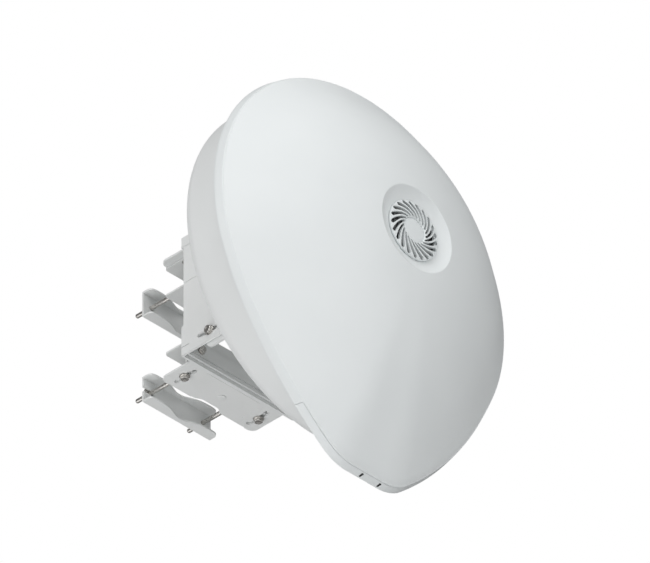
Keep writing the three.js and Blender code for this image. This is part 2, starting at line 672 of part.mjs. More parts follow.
// ---------------------------------------------------------------- azimuth frame
function addAzimuthFrame() {
  const webFront = FRAME_REAR_Y - SHEET;
  const web = alongY(
    roundedRectangle(-FRAME_HALF_WIDTH, -FRAME_HALF_HEIGHT, FRAME_HALF_WIDTH, FRAME_HALF_HEIGHT, 2),
    webFront,
    FRAME_REAR_Y,
  );
  const innerX = FRAME_HALF_WIDTH - SHEET;
  const opening = join(
    box([-innerX, webFront - 1, WINDOW_LOW_Z], [innerX, FRAME_REAR_Y + 1, WINDOW_HIGH_Z]),
    box(
      [-FRAME_HALF_WIDTH - 1, STEP_Y, WINDOW_LOW_Z],
      [FRAME_HALF_WIDTH + 1, FRAME_REAR_Y + 1, WINDOW_HIGH_Z],
    ),
    ...[-1, 1].map((side) => {
      const [left, right] = inOrder(side * innerX, side * (FRAME_HALF_WIDTH + 1));
      return box([left, STEP_Y, STEP_LOW_Z], [right, FRAME_REAR_Y + 1, WINDOW_LOW_Z + 1]);
    }),
  );
  const side = roundedRectangle(FRAME_FRONT_Y, -FRAME_HALF_HEIGHT, FRAME_REAR_Y, FRAME_HALF_HEIGHT, 2);
  const sides = [-FRAME_HALF_WIDTH, FRAME_HALF_WIDTH - SHEET].map((x) => alongX(side, x, x + SHEET));

  const tabRear = FLANGE_REAR_Y + FLANGE_TAB;
  const halfFlange = [
    [FLANGE_HALF_WIDTH, webFront + 1],
    [FLANGE_HALF_WIDTH, tabRear - 9],
    [FLANGE_HALF_WIDTH - 3, tabRear - 3],
    [FLANGE_HALF_WIDTH - 10, tabRear],
    [FLANGE_HALF_WIDTH - 15, tabRear],
    [FLANGE_HALF_WIDTH - 17, FLANGE_REAR_Y],
    [24, FLANGE_REAR_Y],
    [14, FLANGE_REAR_Y - 5],
  ];
  const mirrored = [...halfFlange].reverse().map(([x, y]) => [-x, y]);
  const flange = polygon([...halfFlange, ...mirrored]);
  const flanges = [-FRAME_HALF_HEIGHT, FRAME_HALF_HEIGHT - SHEET].map((z) =>
    alongZ(flange, z, z + SHEET));

  const cuts = [cylinder("z", M6_HOLE, -FAR, FAR, [0, AZIMUTH_Y], 8)];
  for (const angle of [0, 180]) {
    const slot = arcSlot(0, AZIMUTH_Y, AZIMUTH_BOLT_X, angle, AZIMUTH_SLOT_HALF_ANGLE, M6_HOLE);
    cuts.push(alongZ(slot, -FAR, FAR));
  }
  const tiltSlot = arcSlot(TILT_Y, TILT_Z, TILT_SLOT_RADIUS, -90, TILT_SLOT_HALF_ANGLE, M6_HOLE);
  cuts.push(alongX(tiltSlot, -FAR, FAR));
  cuts.push(cylinder("x", M6_HOLE, -FAR, FAR, [TILT_Y, TILT_Z], 8));
  for (const x of [-CRADLE_BOLT_X, CRADLE_BOLT_X]) {
    cuts.push(cylinder("y", M6_HOLE, webFront - 1, FRAME_REAR_Y + 1, [x, CRADLE_BOLT_Z], 8));
  }
  place("azimuth_frame", cut(join(web, ...sides, ...flanges), opening, ...cuts), materials.bracket);
}

// A second plate bolted to the front of the web's lower strip, with a round-cornered notch on top.
function addStiffener() {
  const rear = FRAME_REAR_Y - SHEET - GAP;
  const front = rear - SHEET;
  const outline = roundedRectangle(
    -CRADLE_HALF_WIDTH, CRADLE_LOW_Z, CRADLE_HALF_WIDTH, CRADLE_HIGH_Z, 3,
  );
  const notch = roundedRectangle(
    -CRADLE_NOTCH_HALF_WIDTH,
    CRADLE_FLOOR_Z,
    CRADLE_NOTCH_HALF_WIDTH,
    CRADLE_HIGH_Z + 2 * CRADLE_NOTCH_RADIUS,
    CRADLE_NOTCH_RADIUS,
  );
  const bolts = [[-CRADLE_BOLT_X, "left"], [CRADLE_BOLT_X, "right"]];
  const holes = bolts.map(([x]) =>
    cylinder("y", M6_HOLE, front - 1, rear + 1, [x, CRADLE_BOLT_Z], 8));
  const plate = cut(alongY(outline, front, rear), alongY(notch, front - 1, rear + 1), ...holes);
  place("web_stiffener", plate, materials.bracket);
  for (const [x, word] of bolts) {
    const body = bolt("y", front, FRAME_REAR_Y + 2, -1, [x, CRADLE_BOLT_Z]);
    place(`stiffener_bolt_${word}`, body, materials.stainless);
  }
}

// ---------------------------------------------------------------- pole channels and clamps
// The upper and lower channels mirror each other; `side` is 1 for the upper one and -1 for the
// lower. The lower rods and jaw sit a little farther out.

// Each channel is a U: a web, an outer flange with a shallow notch, and an inner flange with a
// V that the mast rests in.
function addChannel(word, side) {
  const half = CHANNEL_HALF_WIDTH;
  const corner = 5;
  const webRear = CHANNEL_FRONT_Y + CHANNEL_SHEET;
  const [webLow, webHigh] = inOrder(side * CHANNEL_INNER_Z, side * CHANNEL_OUTER_Z);
  const web = box([-half, CHANNEL_FRONT_Y, webLow], [half, webRear, webHigh]);
  const rearCorner = [
    [half, CHANNEL_FRONT_Y + 1],
    [half, CHANNEL_REAR_Y - corner],
    [half - 0.3 * corner, CHANNEL_REAR_Y - 0.3 * corner],
    [half - corner, CHANNEL_REAR_Y],
  ];
  const apexY = -MAST_RADIUS / Math.cos(Math.PI / 6) - 0.3;
  const vHalfWidth = (CHANNEL_REAR_Y - apexY) / Math.tan(Math.PI / 6);
  const innerHalf = [...rearCorner, [vHalfWidth, CHANNEL_REAR_Y]];
  const outerHalf = [...rearCorner, [26, CHANNEL_REAR_Y], [15, apexY - 2]];
  const innerShape = polygon([...innerHalf, [0, apexY], ...mirrorX(innerHalf)]);
  const outerShape = polygon([...outerHalf, ...mirrorX(outerHalf)]);
  const flange = (shape, z, inwards) => alongZ(shape, ...inOrder(side * z, side * (z + inwards)));
  const inner = flange(innerShape, CHANNEL_INNER_Z, CHANNEL_SHEET);
  const outer = flange(outerShape, CHANNEL_OUTER_Z, -CHANNEL_SHEET);
  const outerSpan = inOrder(side * (CHANNEL_OUTER_Z - 10), side * (CHANNEL_OUTER_Z + 10));
  const holes = [cylinder("z", M6_HOLE, ...outerSpan, [0, AZIMUTH_Y], 8)];
  for (const [hand] of HANDS) {
    const rodAt = [hand * ROD_X, ROD_Z[word]];
    holes.push(cylinder("z", M6_HOLE, ...outerSpan, [hand * AZIMUTH_BOLT_X, AZIMUTH_Y], 8));
    holes.push(cylinder("y", M6_HOLE, CHANNEL_FRONT_Y - 1, webRear + 1, rodAt, 8));
  }
  place(`pole_channel_${word}`, cut(join(web, inner, outer), ...holes), materials.bracket);
  addPivot(word, side);
  addChannelFasteners(word, side);
}

// The pivot that the frame turns on: a pin with a head on each side of the two flanges.
function addPivot(word, side) {
  const headRadius = 5.3;
  const flangeFace = side * FRAME_HALF_HEIGHT;
  const insideFace = side * (CHANNEL_OUTER_Z - CHANNEL_SHEET - GAP);
  const at = [0, AZIMUTH_Y];
  const pin = cylinder("z", M6_RADIUS, ...inOrder(insideFace - side, flangeFace + side), at, 12);
  const outside = inOrder(flangeFace + side * GAP, flangeFace + side * 1.4);
  const inside = inOrder(insideFace, insideFace - side * 2);
  const heads = [outside, inside].map((span) => cylinder("z", headRadius, ...span, at, 12));
  place(`azimuth_pivot_${word}`, join(pin, ...heads), materials.bracket);
}

function addChannelFasteners(word, side) {
  const headHeight = 4.1;
  const boltEnd = side * (CHANNEL_OUTER_Z - 4);
  for (const [hand, name] of HANDS) {
    const lockAt = [hand * AZIMUTH_BOLT_X, AZIMUTH_Y];
    const lockBolt = bolt("z", side * FRAME_HALF_HEIGHT, boltEnd, side, lockAt);
    place(`azimuth_lock_bolt_${word}_${name}`, lockBolt, materials.stainless);
    const rodAt = [hand * ROD_X, ROD_Z[word]];
    const headRear = CHANNEL_FRONT_Y - GAP;
    const rod = join(
      cylinder("y", M6_RADIUS, headRear - 1, ROD_END_Y, rodAt, 10),
      cylinder("y", HEAD_RADIUS, headRear - headHeight, headRear, rodAt, 6),
    );
    place(`clamp_rod_${word}_${name}`, rod, materials.stainless);
  }
}

// Half of a jaw flange's front edge, from the rear corner to the middle of the notch.
const JAW_EDGE = [
  [JAW_HALF_WIDTH, JAW_REAR_Y - 1],
  [JAW_HALF_WIDTH, 23],
  [58.5, 18.5],
  [54.5, 16],
  [47, 15.2],
  [33, 15.8],
  [20.5, 18.4],
  [11, 22.2],
  [5, 24.2],
];

function addJaw(word) {
  const middle = ROD_Z[word];
  const low = middle - JAW_HALF_HEIGHT;
  const high = middle + JAW_HALF_HEIGHT;
  const webFront = JAW_REAR_Y - CHANNEL_SHEET;
  const webOutline = roundedRectangle(-JAW_HALF_WIDTH, low, JAW_HALF_WIDTH, high, 2);
  const shape = polygon([...JAW_EDGE, [0, MAST_RADIUS + GAP], ...mirrorX(JAW_EDGE)]);
  const flanges = [low, high - CHANNEL_SHEET].map((z) => alongZ(shape, z, z + CHANNEL_SHEET));
  const cuts = HANDS.map(([hand]) =>
    cylinder("y", M6_HOLE, webFront - 1, JAW_REAR_Y + 1, [hand * ROD_X, middle], 8));
  if (word === "lower") {
    // The left rod's hole is open to the side, so that the jaw can swing off the mast.
    cuts.push(box(
      [-JAW_HALF_WIDTH - 1, webFront - 1, middle - M6_HOLE],
      [-ROD_X, JAW_REAR_Y + 1, middle + M6_HOLE],
    ));
  }
  const jaw = cut(join(alongY(webOutline, webFront, JAW_REAR_Y), ...flanges), ...cuts);
  place(`clamp_jaw_${word}`, jaw, materials.bracket);
  const washerRadius = 9;
  const washerFront = JAW_REAR_Y + GAP;
  const washerRear = washerFront + 1.6;
  for (const [hand, name] of HANDS) {
    const at = [hand * ROD_X, middle];
    const washer = ring("y", washerRadius, M6_HOLE, washerFront, washerRear, at, 12);
    place(`clamp_washer_${word}_${name}`, washer, materials.stainless);
    place(`clamp_nut_${word}_${name}`, nut("y", washerRear + GAP, 1, at), materials.stainless);
  }
}

// ---------------------------------------------------------------- assembly
addCover();
addVent();
addHousing();
addReflector();
addRadio();
addRadioLead();
addPorts();
addTiltBracket();
addAzimuthFrame();
addStiffener();
for (const [word, side] of [["upper", 1], ["lower", -1]]) {
  addChannel(word, side);
  addJaw(word);
}

export default group;
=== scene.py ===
import json
import math

import bmesh
import bpy
import numpy as np
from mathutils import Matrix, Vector, geometry


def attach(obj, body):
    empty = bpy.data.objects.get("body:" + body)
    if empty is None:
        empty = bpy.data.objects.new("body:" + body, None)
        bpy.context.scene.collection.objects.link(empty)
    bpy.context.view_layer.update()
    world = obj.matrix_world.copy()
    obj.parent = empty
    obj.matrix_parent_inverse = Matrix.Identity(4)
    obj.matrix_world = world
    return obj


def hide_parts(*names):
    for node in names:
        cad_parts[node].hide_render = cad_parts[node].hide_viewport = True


# The outdoor wireless bridge: its outside in fine detail, and its materials, lights and camera.
# Lengths are in millimetres until a mesh is made, which turns them into metres.
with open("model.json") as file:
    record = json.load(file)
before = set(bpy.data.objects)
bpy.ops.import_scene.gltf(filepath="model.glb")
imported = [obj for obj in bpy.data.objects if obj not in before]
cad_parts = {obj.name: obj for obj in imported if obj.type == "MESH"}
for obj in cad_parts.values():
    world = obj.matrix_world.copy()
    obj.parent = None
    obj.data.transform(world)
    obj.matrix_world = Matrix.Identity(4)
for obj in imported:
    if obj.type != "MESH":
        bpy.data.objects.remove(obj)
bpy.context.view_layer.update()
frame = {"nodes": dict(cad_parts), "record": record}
bodies_of_row = frame["record"]["behaviour"]["bodies"]
BODY = {node: body for body, nodes in bodies_of_row.items() for node in nodes}
SLOT = {part["node"]: part["material_slot"] for part in frame["record"]["subparts"]}

# ------------------------------------------------------------------ dimensions
MM = 0.001
GAP = 0.4  # clearance between neighbouring parts
FAR = 500.0  # past the object on every side
MAST_RADIUS = 24.15
SHEET = 3.0
BEND = 2.0  # outside radius of a fold
INNER_BEND = 0.3  # least inside radius of a fold
M6_RADIUS = 3.0
HEX_CORNER = 5.77  # a hexagon 10 mm across flats, from its middle to a corner
HEAD_HEIGHT = 3.7
NUT_HEIGHT = 4.4
M6_HOLE = 3.4

AXIS_Z = -4.4
RIM_RADIUS = 254.5
RIM_Y = -290.5
FLANK_START = 22.0
FLANK_END = 50.2
FLANK_RADIUS = 580.0
CHIN_CORNER_RADIUS = 66.5
CHIN_SHIFT = 9.4
CHIN_SHIFT_START = -137.0
DOME_INSET = 9.2
DOME_RADIUS = 352.0
DOME_FLAT_RADIUS = 215.0  # outside this the dome runs straight to the rim
COVER_WALL = 3.0
HUB_RADIUS = 62.0
HUB_Y = -399.5
VENT_HOLE = 40.0
VENT_FLOOR_Y = -390.5
SEAM_Z = AXIS_Z - 279.7
DRAINS = {"left": (-6.1, -305.5), "right": (25.3, -305.5)}
DRAIN_HALF_WIDTH = 1.6
DRAIN_HALF_LENGTH = 3.5
DRAIN_CORNER = 0.9
VENT_RADIUS = 42.6
VENT_SLOTS = 21
CAP_RADIUS = 17.45

PAN_FRONT_RADIUS = 243.0
PAN_BACK_RADIUS = 238.0
PAN_BACK_Y = -213.0
PAN_CORNER = 22.0
PAN_WALL = 3.0

FRAME_HALF_WIDTH = 100.0
FRAME_HALF_HEIGHT = 91.0
FRAME_REAR_Y = -77.0
FRAME_FRONT_Y = -176.0
FLANGE_HALF_WIDTH = 82.5
FLANGE_REAR_Y = -24.6
FLANGE_TAB = 2.0
WINDOW_LOW_Z = -41.0
WINDOW_HIGH_Z = 75.0
STEP_LOW_Z = -46.0
STEP_Y = -82.0
SIDE_GROOVES = (19.4, 76.0)
GROOVE_DEPTH = 1.0
GROOVE_HALF_WIDTH = 0.55
SCALE_DOTS = (-15, -1, 13)  # degrees round the azimuth pivot
SCALE_RADIUS = 51.5
AZIMUTH_Y = -50.0
AZIMUTH_BOLT_X = 66.0
TILT_Y = -129.0
TILT_Z = 50.0
TILT_SLOT_RADIUS = 126.5
TILT_LOCK_Z = TILT_Z - TILT_SLOT_RADIUS

STIFFENER_HALF_WIDTH = 93.0
STIFFENER_LOW_Z = -86.0
STIFFENER_HIGH_Z = -36.0
NOTCH_FLOOR_Z = -60.0
NOTCH_HALF_WIDTH = 65.0
NOTCH_RADIUS = 25.0
STIFFENER_BOLT_X = 70.5
STIFFENER_BOLT_Z = -70.0

EAR_INNER = 93.2
EAR_OUTER = EAR_INNER + SHEET
EAR_REAR_Y = -119.0
EAR_LOW_Z = -98.5
EAR_HIGH_Z = 82.0
EAR_CORNER = 10.0
BRACKET_SCREWS = [(-60.0, -50.0), (60.0, -50.0), (-60.0, 60.0), (60.0, 60.0)]
GROUND_Z = AXIS_Z - 196.0
GROUND_SCREW_RADIUS = 2.5
GROUND_HOLE = 2.9

CHANNEL_SHEET = 2.5
CHANNEL_BEND = 1.4
JAW_BEND = 1.2
CHANNEL_HALF_WIDTH = 72.0
CHANNEL_FRONT_Y = -60.0
CHANNEL_REAR_Y = -20.0
CHANNEL_OUTER_Z = FRAME_HALF_HEIGHT - SHEET - GAP
CHANNEL_INNER_Z = 43.6
ROD_X = 46.0
ROD_Z = {"upper": 63.5, "lower": -68.0}
ROD_END_Y = 55.5
JAW_HALF_WIDTH = 60.0
JAW_HALF_HEIGHT = 19.2
JAW_REAR_Y = 32.0


# ------------------------------------------------------------------ materials
class Nodes:
    """A few short calls to wire up a node tree."""

    def __init__(self, tree):
        self.tree = tree

    def add(self, kind, inputs=None, **settings):
        node = self.tree.nodes.new(kind)
        for key, value in settings.items():
            setattr(node, key, value)
        for key, value in (inputs or {}).items():
            if isinstance(value, bpy.types.NodeSocket):
                self.tree.links.new(value, node.inputs[key])
            else:
                node.inputs[key].default_value = value
        return node

    def noise(self, vector, scale, detail=2.0, roughness=0.5):
        return self.add("ShaderNodeTexNoise", {
            "Vector": vector, "Scale": scale, "Detail": detail, "Roughness": roughness,
        }).outputs["Fac"]

    def spread(self, value, low, high, start=0.3, end=0.7):
        return self.add("ShaderNodeMapRange", {
            "Value": value, "From Min": start, "From Max": end, "To Min": low, "To Max": high,
        }).outputs["Result"]

    def mix(self, factor, first, second):
        node = self.add("ShaderNodeMix", data_type="RGBA")
        for index, value in ((0, factor), (6, first), (7, second)):
            if isinstance(value, bpy.types.NodeSocket):
                self.tree.links.new(value, node.inputs[index])
            else:
                node.inputs[index].default_value = value if index == 0 else (*value, 1.0)
        return node.outputs[2]

    def bump(self, height, distance, strength=1.0, under=None):
        inputs = {"Height": height, "Distance": distance, "Strength": strength}
        if under is not None:
            inputs["Normal"] = under
        return self.add("ShaderNodeBump", inputs).outputs["Normal"]


def start_material(name):
    material = bpy.data.materials.new(name)
    material.use_nodes = True
    material.node_tree.nodes.clear()
    nodes = Nodes(material.node_tree)
    shader = nodes.add("ShaderNodeBsdfPrincipled")
    nodes.add("ShaderNodeOutputMaterial", {"Surface": shader.outputs["BSDF"]})
    place = nodes.add("ShaderNodeTexCoord").outputs["Object"]
    return material, nodes, shader, place


def link(nodes, shader, **sockets):
    """Feeds the shader: a socket is linked, a number is set."""
    for key, value in sockets.items():
        name = key.replace("_", " ").title()
        if isinstance(value, bpy.types.NodeSocket):
            nodes.tree.links.new(value, shader.inputs[name])
        else:
            shader.inputs[name].default_value = value


def plastic(name, colour, shade, roughness, grain_scale, grain_height):
    """Moulded plastic: a fine etched grain over slow, faint changes of tone and gloss."""
    material, nodes, shader, place = start_material(name)
    clouds = nodes.noise(place, 9.0, 3.0)
    specks = nodes.noise(place, 420.0, 2.0)
    tone = nodes.mix(nodes.spread(clouds, 0.0, 1.0), colour, shade)
    speckled = nodes.mix(nodes.spread(specks, 0.0, 0.10, 0.45, 0.8), tone, shade)
    gloss = nodes.spread(nodes.noise(place, 26.0, 4.0), roughness - 0.04, roughness + 0.05)
    grain = nodes.noise(place, grain_scale, 3.0, 0.6)
    fine = nodes.bump(grain, grain_height)
    waves = nodes.bump(nodes.noise(place, 14.0, 1.0), 0.00012, 0.5, fine)
    link(nodes, shader, base_color=speckled, roughness=gloss, normal=waves)
    shader.inputs["Specular IOR Level"].default_value = 0.35
    return material


def powder_coat(name, colour, shade):
    """Powder coat: an orange-peel skin, dulled a little in blotches."""
    material, nodes, shader, place = start_material(name)
    tone = nodes.mix(nodes.spread(nodes.noise(place, 22.0, 4.0), 0.0, 1.0), colour, shade)
    specks = nodes.spread(nodes.noise(place, 900.0, 1.0), 0.0, 0.14, 0.55, 0.8)
    coloured = nodes.mix(specks, tone, tuple(0.72 * c for c in colour))
    peel = nodes.bump(nodes.noise(place, 520.0, 2.0, 0.45), 0.00010, 0.7)
    gloss = nodes.spread(nodes.noise(place, 60.0, 3.0), 0.36, 0.50)
    link(nodes, shader, base_color=coloured, roughness=gloss, normal=peel)
    shader.inputs["Coat Weight"].default_value = 0.12
    shader.inputs["Coat Roughness"].default_value = 0.3
    return material


def metal(name, colour, shade, low, high, streaks, bump_scale, bump_height):
    """Bare metal: streaks along one direction, smudges of gloss, and a fine tooth."""
    material, nodes, shader, place = start_material(name)
    stretched = nodes.add("ShaderNodeMapping", {"Vector": place, "Scale": streaks})
    lines = nodes.noise(stretched.outputs["Vector"], 300.0, 3.0)
    tone = nodes.mix(nodes.spread(lines, 0.0, 1.0), colour, shade)
    gloss = nodes.spread(nodes.noise(place, 160.0, 4.0), low, high)
    tooth = nodes.bump(nodes.noise(place, bump_scale, 3.0), bump_height, 0.6)
    scratched = nodes.bump(lines, 0.00002, 0.5, tooth)
    link(nodes, shader, base_color=tone, roughness=gloss, normal=scratched, metallic=1.0)
    return material


def spun_metal(name, colour, shade):
    """Spun sheet metal: fine rings about the dish axis."""
    material, nodes, shader, place = start_material(name)
    centred = nodes.add("ShaderNodeMapping", {
        "Vector": place, "Location": (0.0, 0.0, -AXIS_Z * MM), "Scale": (1.0, 0.0, 1.0),
    }).outputs["Vector"]
    radius = nodes.add("ShaderNodeVectorMath", {0: centred}, operation="LENGTH").outputs["Value"]
    rings = nodes.add("ShaderNodeTexNoise", {"W": radius, "Scale": 900.0, "Detail": 4.0},
                      noise_dimensions="1D").outputs["Fac"]
    tone = nodes.mix(nodes.spread(rings, 0.0, 1.0), colour, shade)
    gloss = nodes.spread(nodes.noise(place, 40.0, 3.0), 0.24, 0.38)
    link(nodes, shader, base_color=tone, roughness=gloss,
         normal=nodes.bump(rings, 0.00003, 0.6), metallic=1.0)
    return material


def board(name):
    """A circuit board: green resist over darker traces, with tinned pads."""
    material, nodes, shader, place = start_material(name)
    turned = nodes.add("ShaderNodeMapping", {
        "Vector": place, "Rotation": (math.radians(90), 0.0, 0.0),
    }).outputs["Vector"]
    traces = nodes.add("ShaderNodeTexBrick", {
        "Vector": turned, "Scale": 90.0, "Mortar Size": 0.03, "Color1": (0, 0, 0, 1),
        "Color2": (0.2, 0.2, 0.2, 1), "Mortar": (1, 1, 1, 1),
    }).outputs["Color"]
    pads = nodes.add("ShaderNodeTexVoronoi", {"Vector": place, "Scale": 210.0}).outputs["Distance"]
    is_pad = nodes.spread(pads, 1.0, 0.0, 0.16, 0.2)
    resist = nodes.mix(traces, (0.020, 0.115, 0.050), (0.035, 0.180, 0.080))
    coloured = nodes.mix(is_pad, resist, (0.62, 0.60, 0.55))
    link(nodes, shader, base_color=coloured, roughness=nodes.spread(is_pad, 0.5, 0.3, 0, 1),
         normal=nodes.bump(traces, 0.00005, 0.6), metallic=is_pad)
    return material


MATERIALS = {
    "cover_plastic": plastic(
        "cover_plastic", (0.812, 0.842, 0.847), (0.788, 0.820, 0.825), 0.46, 1500.0, 0.000035),
    "housing_plastic": plastic(
        "housing_plastic", (0.815, 0.832, 0.832), (0.793, 0.811, 0.811), 0.50, 1300.0, 0.00005),
    "vent_plastic": plastic(
        "vent_plastic", (0.800, 0.835, 0.840), (0.775, 0.812, 0.818), 0.42, 1500.0, 0.00003),
    "bracket_paint": powder_coat("bracket_paint", (0.835, 0.850, 0.845), (0.805, 0.820, 0.815)),
    "stainless_steel": metal(
        "stainless_steel", (0.70, 0.68, 0.65), (0.56, 0.545, 0.52), 0.20, 0.36,
        (1.0, 12.0, 1.0), 1400.0, 0.00004),
    "reflector_metal": spun_metal("reflector_metal", (0.80, 0.81, 0.82), (0.68, 0.69, 0.70)),
    # The heat sink's dark grey is partly painted shade: it is kept dark so that the vent slots, which
    # look onto it, read as deep shade.
    "cast_metal": metal(
        "cast_metal", (0.30, 0.305, 0.31), (0.22, 0.225, 0.23), 0.45, 0.65,
        (1.0, 1.0, 1.0), 700.0, 0.00016),
    "circuit_board": board("circuit_board"),
    "plated_shield": metal(
        "plated_shield", (0.72, 0.71, 0.68), (0.60, 0.59, 0.56), 0.18, 0.34,
        (1.0, 1.0, 9.0), 900.0, 0.00003),
    "black_plastic": plastic(
        "black_plastic", (0.030, 0.032, 0.035), (0.022, 0.024, 0.027), 0.52, 1100.0, 0.00007),
    "black_rubber": plastic(
        "black_rubber", (0.026, 0.026, 0.026), (0.018, 0.018, 0.019), 0.74, 800.0, 0.00010),
}
for material_name, made in MATERIALS.items():
    made.name = material_name
for node_name, node_object in frame["nodes"].items():
    node_object.data.materials.clear()
    node_object.data.materials.append(MATERIALS[SLOT[node_name]])


# ------------------------------------------------------------------ mesh tools
def to_object(name, points, faces):
    """A mesh object from millimetre points, with its faces turned outwards."""
    mesh = bpy.data.meshes.new(name)
    mesh.from_pydata([tuple(c * MM for c in p) for p in points], [], [tuple(f) for f in faces])
    mesh.validate()
    obj = bpy.data.objects.new(name, mesh)
    bpy.context.scene.collection.objects.link(obj)
    if signed_volume(mesh) < 0:
        mesh.flip_normals()
    return obj


def signed_volume(mesh):
    mesh.calc_loop_triangles()
    total = 0.0
    for triangle in mesh.loop_triangles:
        a, b, c = (mesh.vertices[i].co for i in triangle.vertices)
        total += a.dot(b.cross(c))
    return total


def apply_modifiers(obj):
    graph = bpy.context.evaluated_depsgraph_get()
    mesh = bpy.data.meshes.new_from_object(obj.evaluated_get(graph))
    old = obj.data
    obj.modifiers.clear()
    obj.data = mesh
    bpy.data.meshes.remove(old)
    return obj


def combine(obj, others, operation):
    """A boolean of obj with each of the others, which are used up."""
    for other in others:
        modifier = obj.modifiers.new("combine", "BOOLEAN")
        modifier.operation = operation
        modifier.object = other
        modifier.solver = "EXACT"
    apply_modifiers(obj)
    for other in others:
        bpy.data.objects.remove(other)
    return obj


def cut(obj, *others):
    return combine(obj, others, "DIFFERENCE")


def join(obj, *others):
    return combine(obj, others, "UNION")


def keep_inside(obj, *others):
    return combine(obj, others, "INTERSECT")


def round_edges(obj, width, segments=2, angle=38):
    modifier = obj.modifiers.new("bevel", "BEVEL")
    modifier.width = width * MM
    modifier.segments = segments
    modifier.limit_method = "ANGLE"
    modifier.angle_limit = math.radians(angle)
    modifier.use_clamp_overlap = True
    return apply_modifiers(obj)


def add_piece(obj, name, body, slot, smooth=32):
    """Finishes a piece: its name, its material and shading, and the body it rides on."""
    obj.name = obj.data.name = name
    obj.data.materials.clear()
    obj.data.materials.append(MATERIALS[slot])
    obj.data.polygons.foreach_set("use_smooth", [True] * len(obj.data.polygons))
    obj.data.set_sharp_from_angle(angle=math.radians(smooth))
    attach(obj, body)
    return obj


def stand_for(obj, node, smooth=32, flat=False):
    """A piece that replaces the CAD node of that name and takes its body and slot."""
    add_piece(obj, f"{node}_skin", BODY[node], SLOT[node], smooth)
    if flat:
        weigh_normals(obj)
    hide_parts(node)
    return obj


def weigh_normals(obj):
    """Keeps the large flat faces flat in the shading, right up to their bevels."""
    name = obj.data.name
    modifier = obj.modifiers.new("weigh", "WEIGHTED_NORMAL")
    modifier.keep_sharp = True
    modifier.weight = 100
    apply_modifiers(obj)
    obj.data.name = name


ALONG = {
    "x": lambda a, b, t: (t, a, b),
    "y": lambda a, b, t: (a, t, b),
    "z": lambda a, b, t: (a, b, t),
}


def plate(axis, outline, low, high, holes=()):
    """A flat plate across an axis, from closed outlines in the other two coordinates."""
    loops = [list(outline), *[list(hole) for hole in holes]]
    flat = [point for loop in loops for point in loop]
    caps = geometry.tessellate_polygon(
        [[Vector((a, b, 0.0)) for a, b in loop] for loop in loops])
    count = len(flat)
    points = [ALONG[axis](a, b, t) for t in (low, high) for a, b in flat]
    faces = [tuple(reversed(cap)) for cap in caps]
    faces += [tuple(i + count for i in cap) for cap in caps]
    first = 0
    for loop in loops:
        size = len(loop)
        area = sum(
            loop[i][0] * loop[(i + 1) % size][1] - loop[(i + 1) % size][0] * loop[i][1]
            for i in range(size))
        for i in range(size):
            here, after = first + i, first + (i + 1) % size
            wall = (here, after, after + count, here + count)
            faces.append(wall if (area > 0) == (loop is loops[0]) else wall[::-1])
        first += size
    obj = to_object("plate", points, faces)
    return face_outwards(obj)


def face_outwards(obj):
    """Makes every face of a closed mesh agree, then point out."""
    work = bmesh.new()
    work.from_mesh(obj.data)
    bmesh.ops.remove_doubles(work, verts=work.verts, dist=1e-7)
    bmesh.ops.recalc_face_normals(work, faces=work.faces)
    work.to_mesh(obj.data)
    work.free()
    if signed_volume(obj.data) < 0:
        obj.data.flip_normals()
    return obj


def arc(centre, radius, start, end, steps=8):
    """Points of an arc, with its angles in degrees."""
    points = []
    for i in range(steps + 1):
        angle = math.radians(start + (end - start) * i / steps)
        points.append((centre[0] + radius * math.cos(angle), centre[1] + radius * math.sin(angle)))
    return points


def rounded(left, bottom, right, top, radius, steps=8):
    return [
        *arc((right - radius, bottom + radius), radius, -90, 0, steps),
        *arc((right - radius, top - radius), radius, 0, 90, steps),
        *arc((left + radius, top - radius), radius, 90, 180, steps),
        *arc((left + radius, bottom + radius), radius, 180, 270, steps),
    ]


def circle(centre, radius, steps=32):
    return arc(centre, radius, 0, 360, steps)[:-1]


def box(low, high):
    return plate("z", [(low[0], low[1]), (high[0], low[1]), (high[0], high[1]), (low[0], high[1])],
                 low[2], high[2])


def cylinder(axis, centre, radius, low, high, steps=32):
    return plate(axis, circle(centre, radius, steps), low, high)


def on_circle(centre, radius, angle):
    """The point of a circle at an angle in degrees."""
    return arc(centre, radius, angle, angle, 1)[0]


def arc_slot(pivot, radius, middle, half, half_width):
    """A slot that bends round a pivot, with round ends. Angles in degrees."""
    start, end = middle - half, middle + half
    return [
        *arc(pivot, radius + half_width, start, end, 14),
        *arc(on_circle(pivot, radius, end), half_width, end, end + 180, 10)[1:],
        *arc(pivot, radius - half_width, end, start, 14)[1:],
        *arc(on_circle(pivot, radius, start), half_width, start + 180, start + 360, 10)[1:-1],
    ]


def loft(rows, closed):
    """Quads between rows of points, each row a closed ring. If closed, the last row joins the first."""
    size = len(rows[0])
    points = [point for row in rows for point in row]
    faces = []
    count = len(rows) if closed else len(rows) - 1
    for j in range(count):
        low, high = j * size, ((j + 1) % len(rows)) * size
        for i in range(size):
            k = (i + 1) % size
            faces.append((low + i, low + k, high + k, high + i))
    if not closed:
        faces.append(tuple(range(size))[::-1])
        faces.append(tuple(range((len(rows) - 1) * size, len(rows) * size)))
    return face_outwards(to_object("loft", points, faces))


def stack(axis, centre, levels, steps=48):
    """Rings piled along an axis. Each level is a height and either a radius or a function of angle."""
    rows = []
    for height, radius in levels:
        row = []
        for i in range(steps):
            angle = 2 * math.pi * i / steps
            r = radius(angle) if callable(radius) else radius
            row.append(ALONG[axis](
                centre[0] + r * math.cos(angle), centre[1] + r * math.sin(angle), height))
        rows.append(row)
    return loft(rows, closed=False)


def turned(profile, steps=96, centre=(0.0, AXIS_Z)):
    """A closed body of revolution about a line along Y, from [radius, y] points off the axis."""
    rows = []
    for radius, y in profile:
        ring = [ALONG["y"](
            centre[0] + radius * math.cos(2 * math.pi * i / steps),
            centre[1] + radius * math.sin(2 * math.pi * i / steps), y) for i in range(steps)]
        rows.append(ring)
    return rows


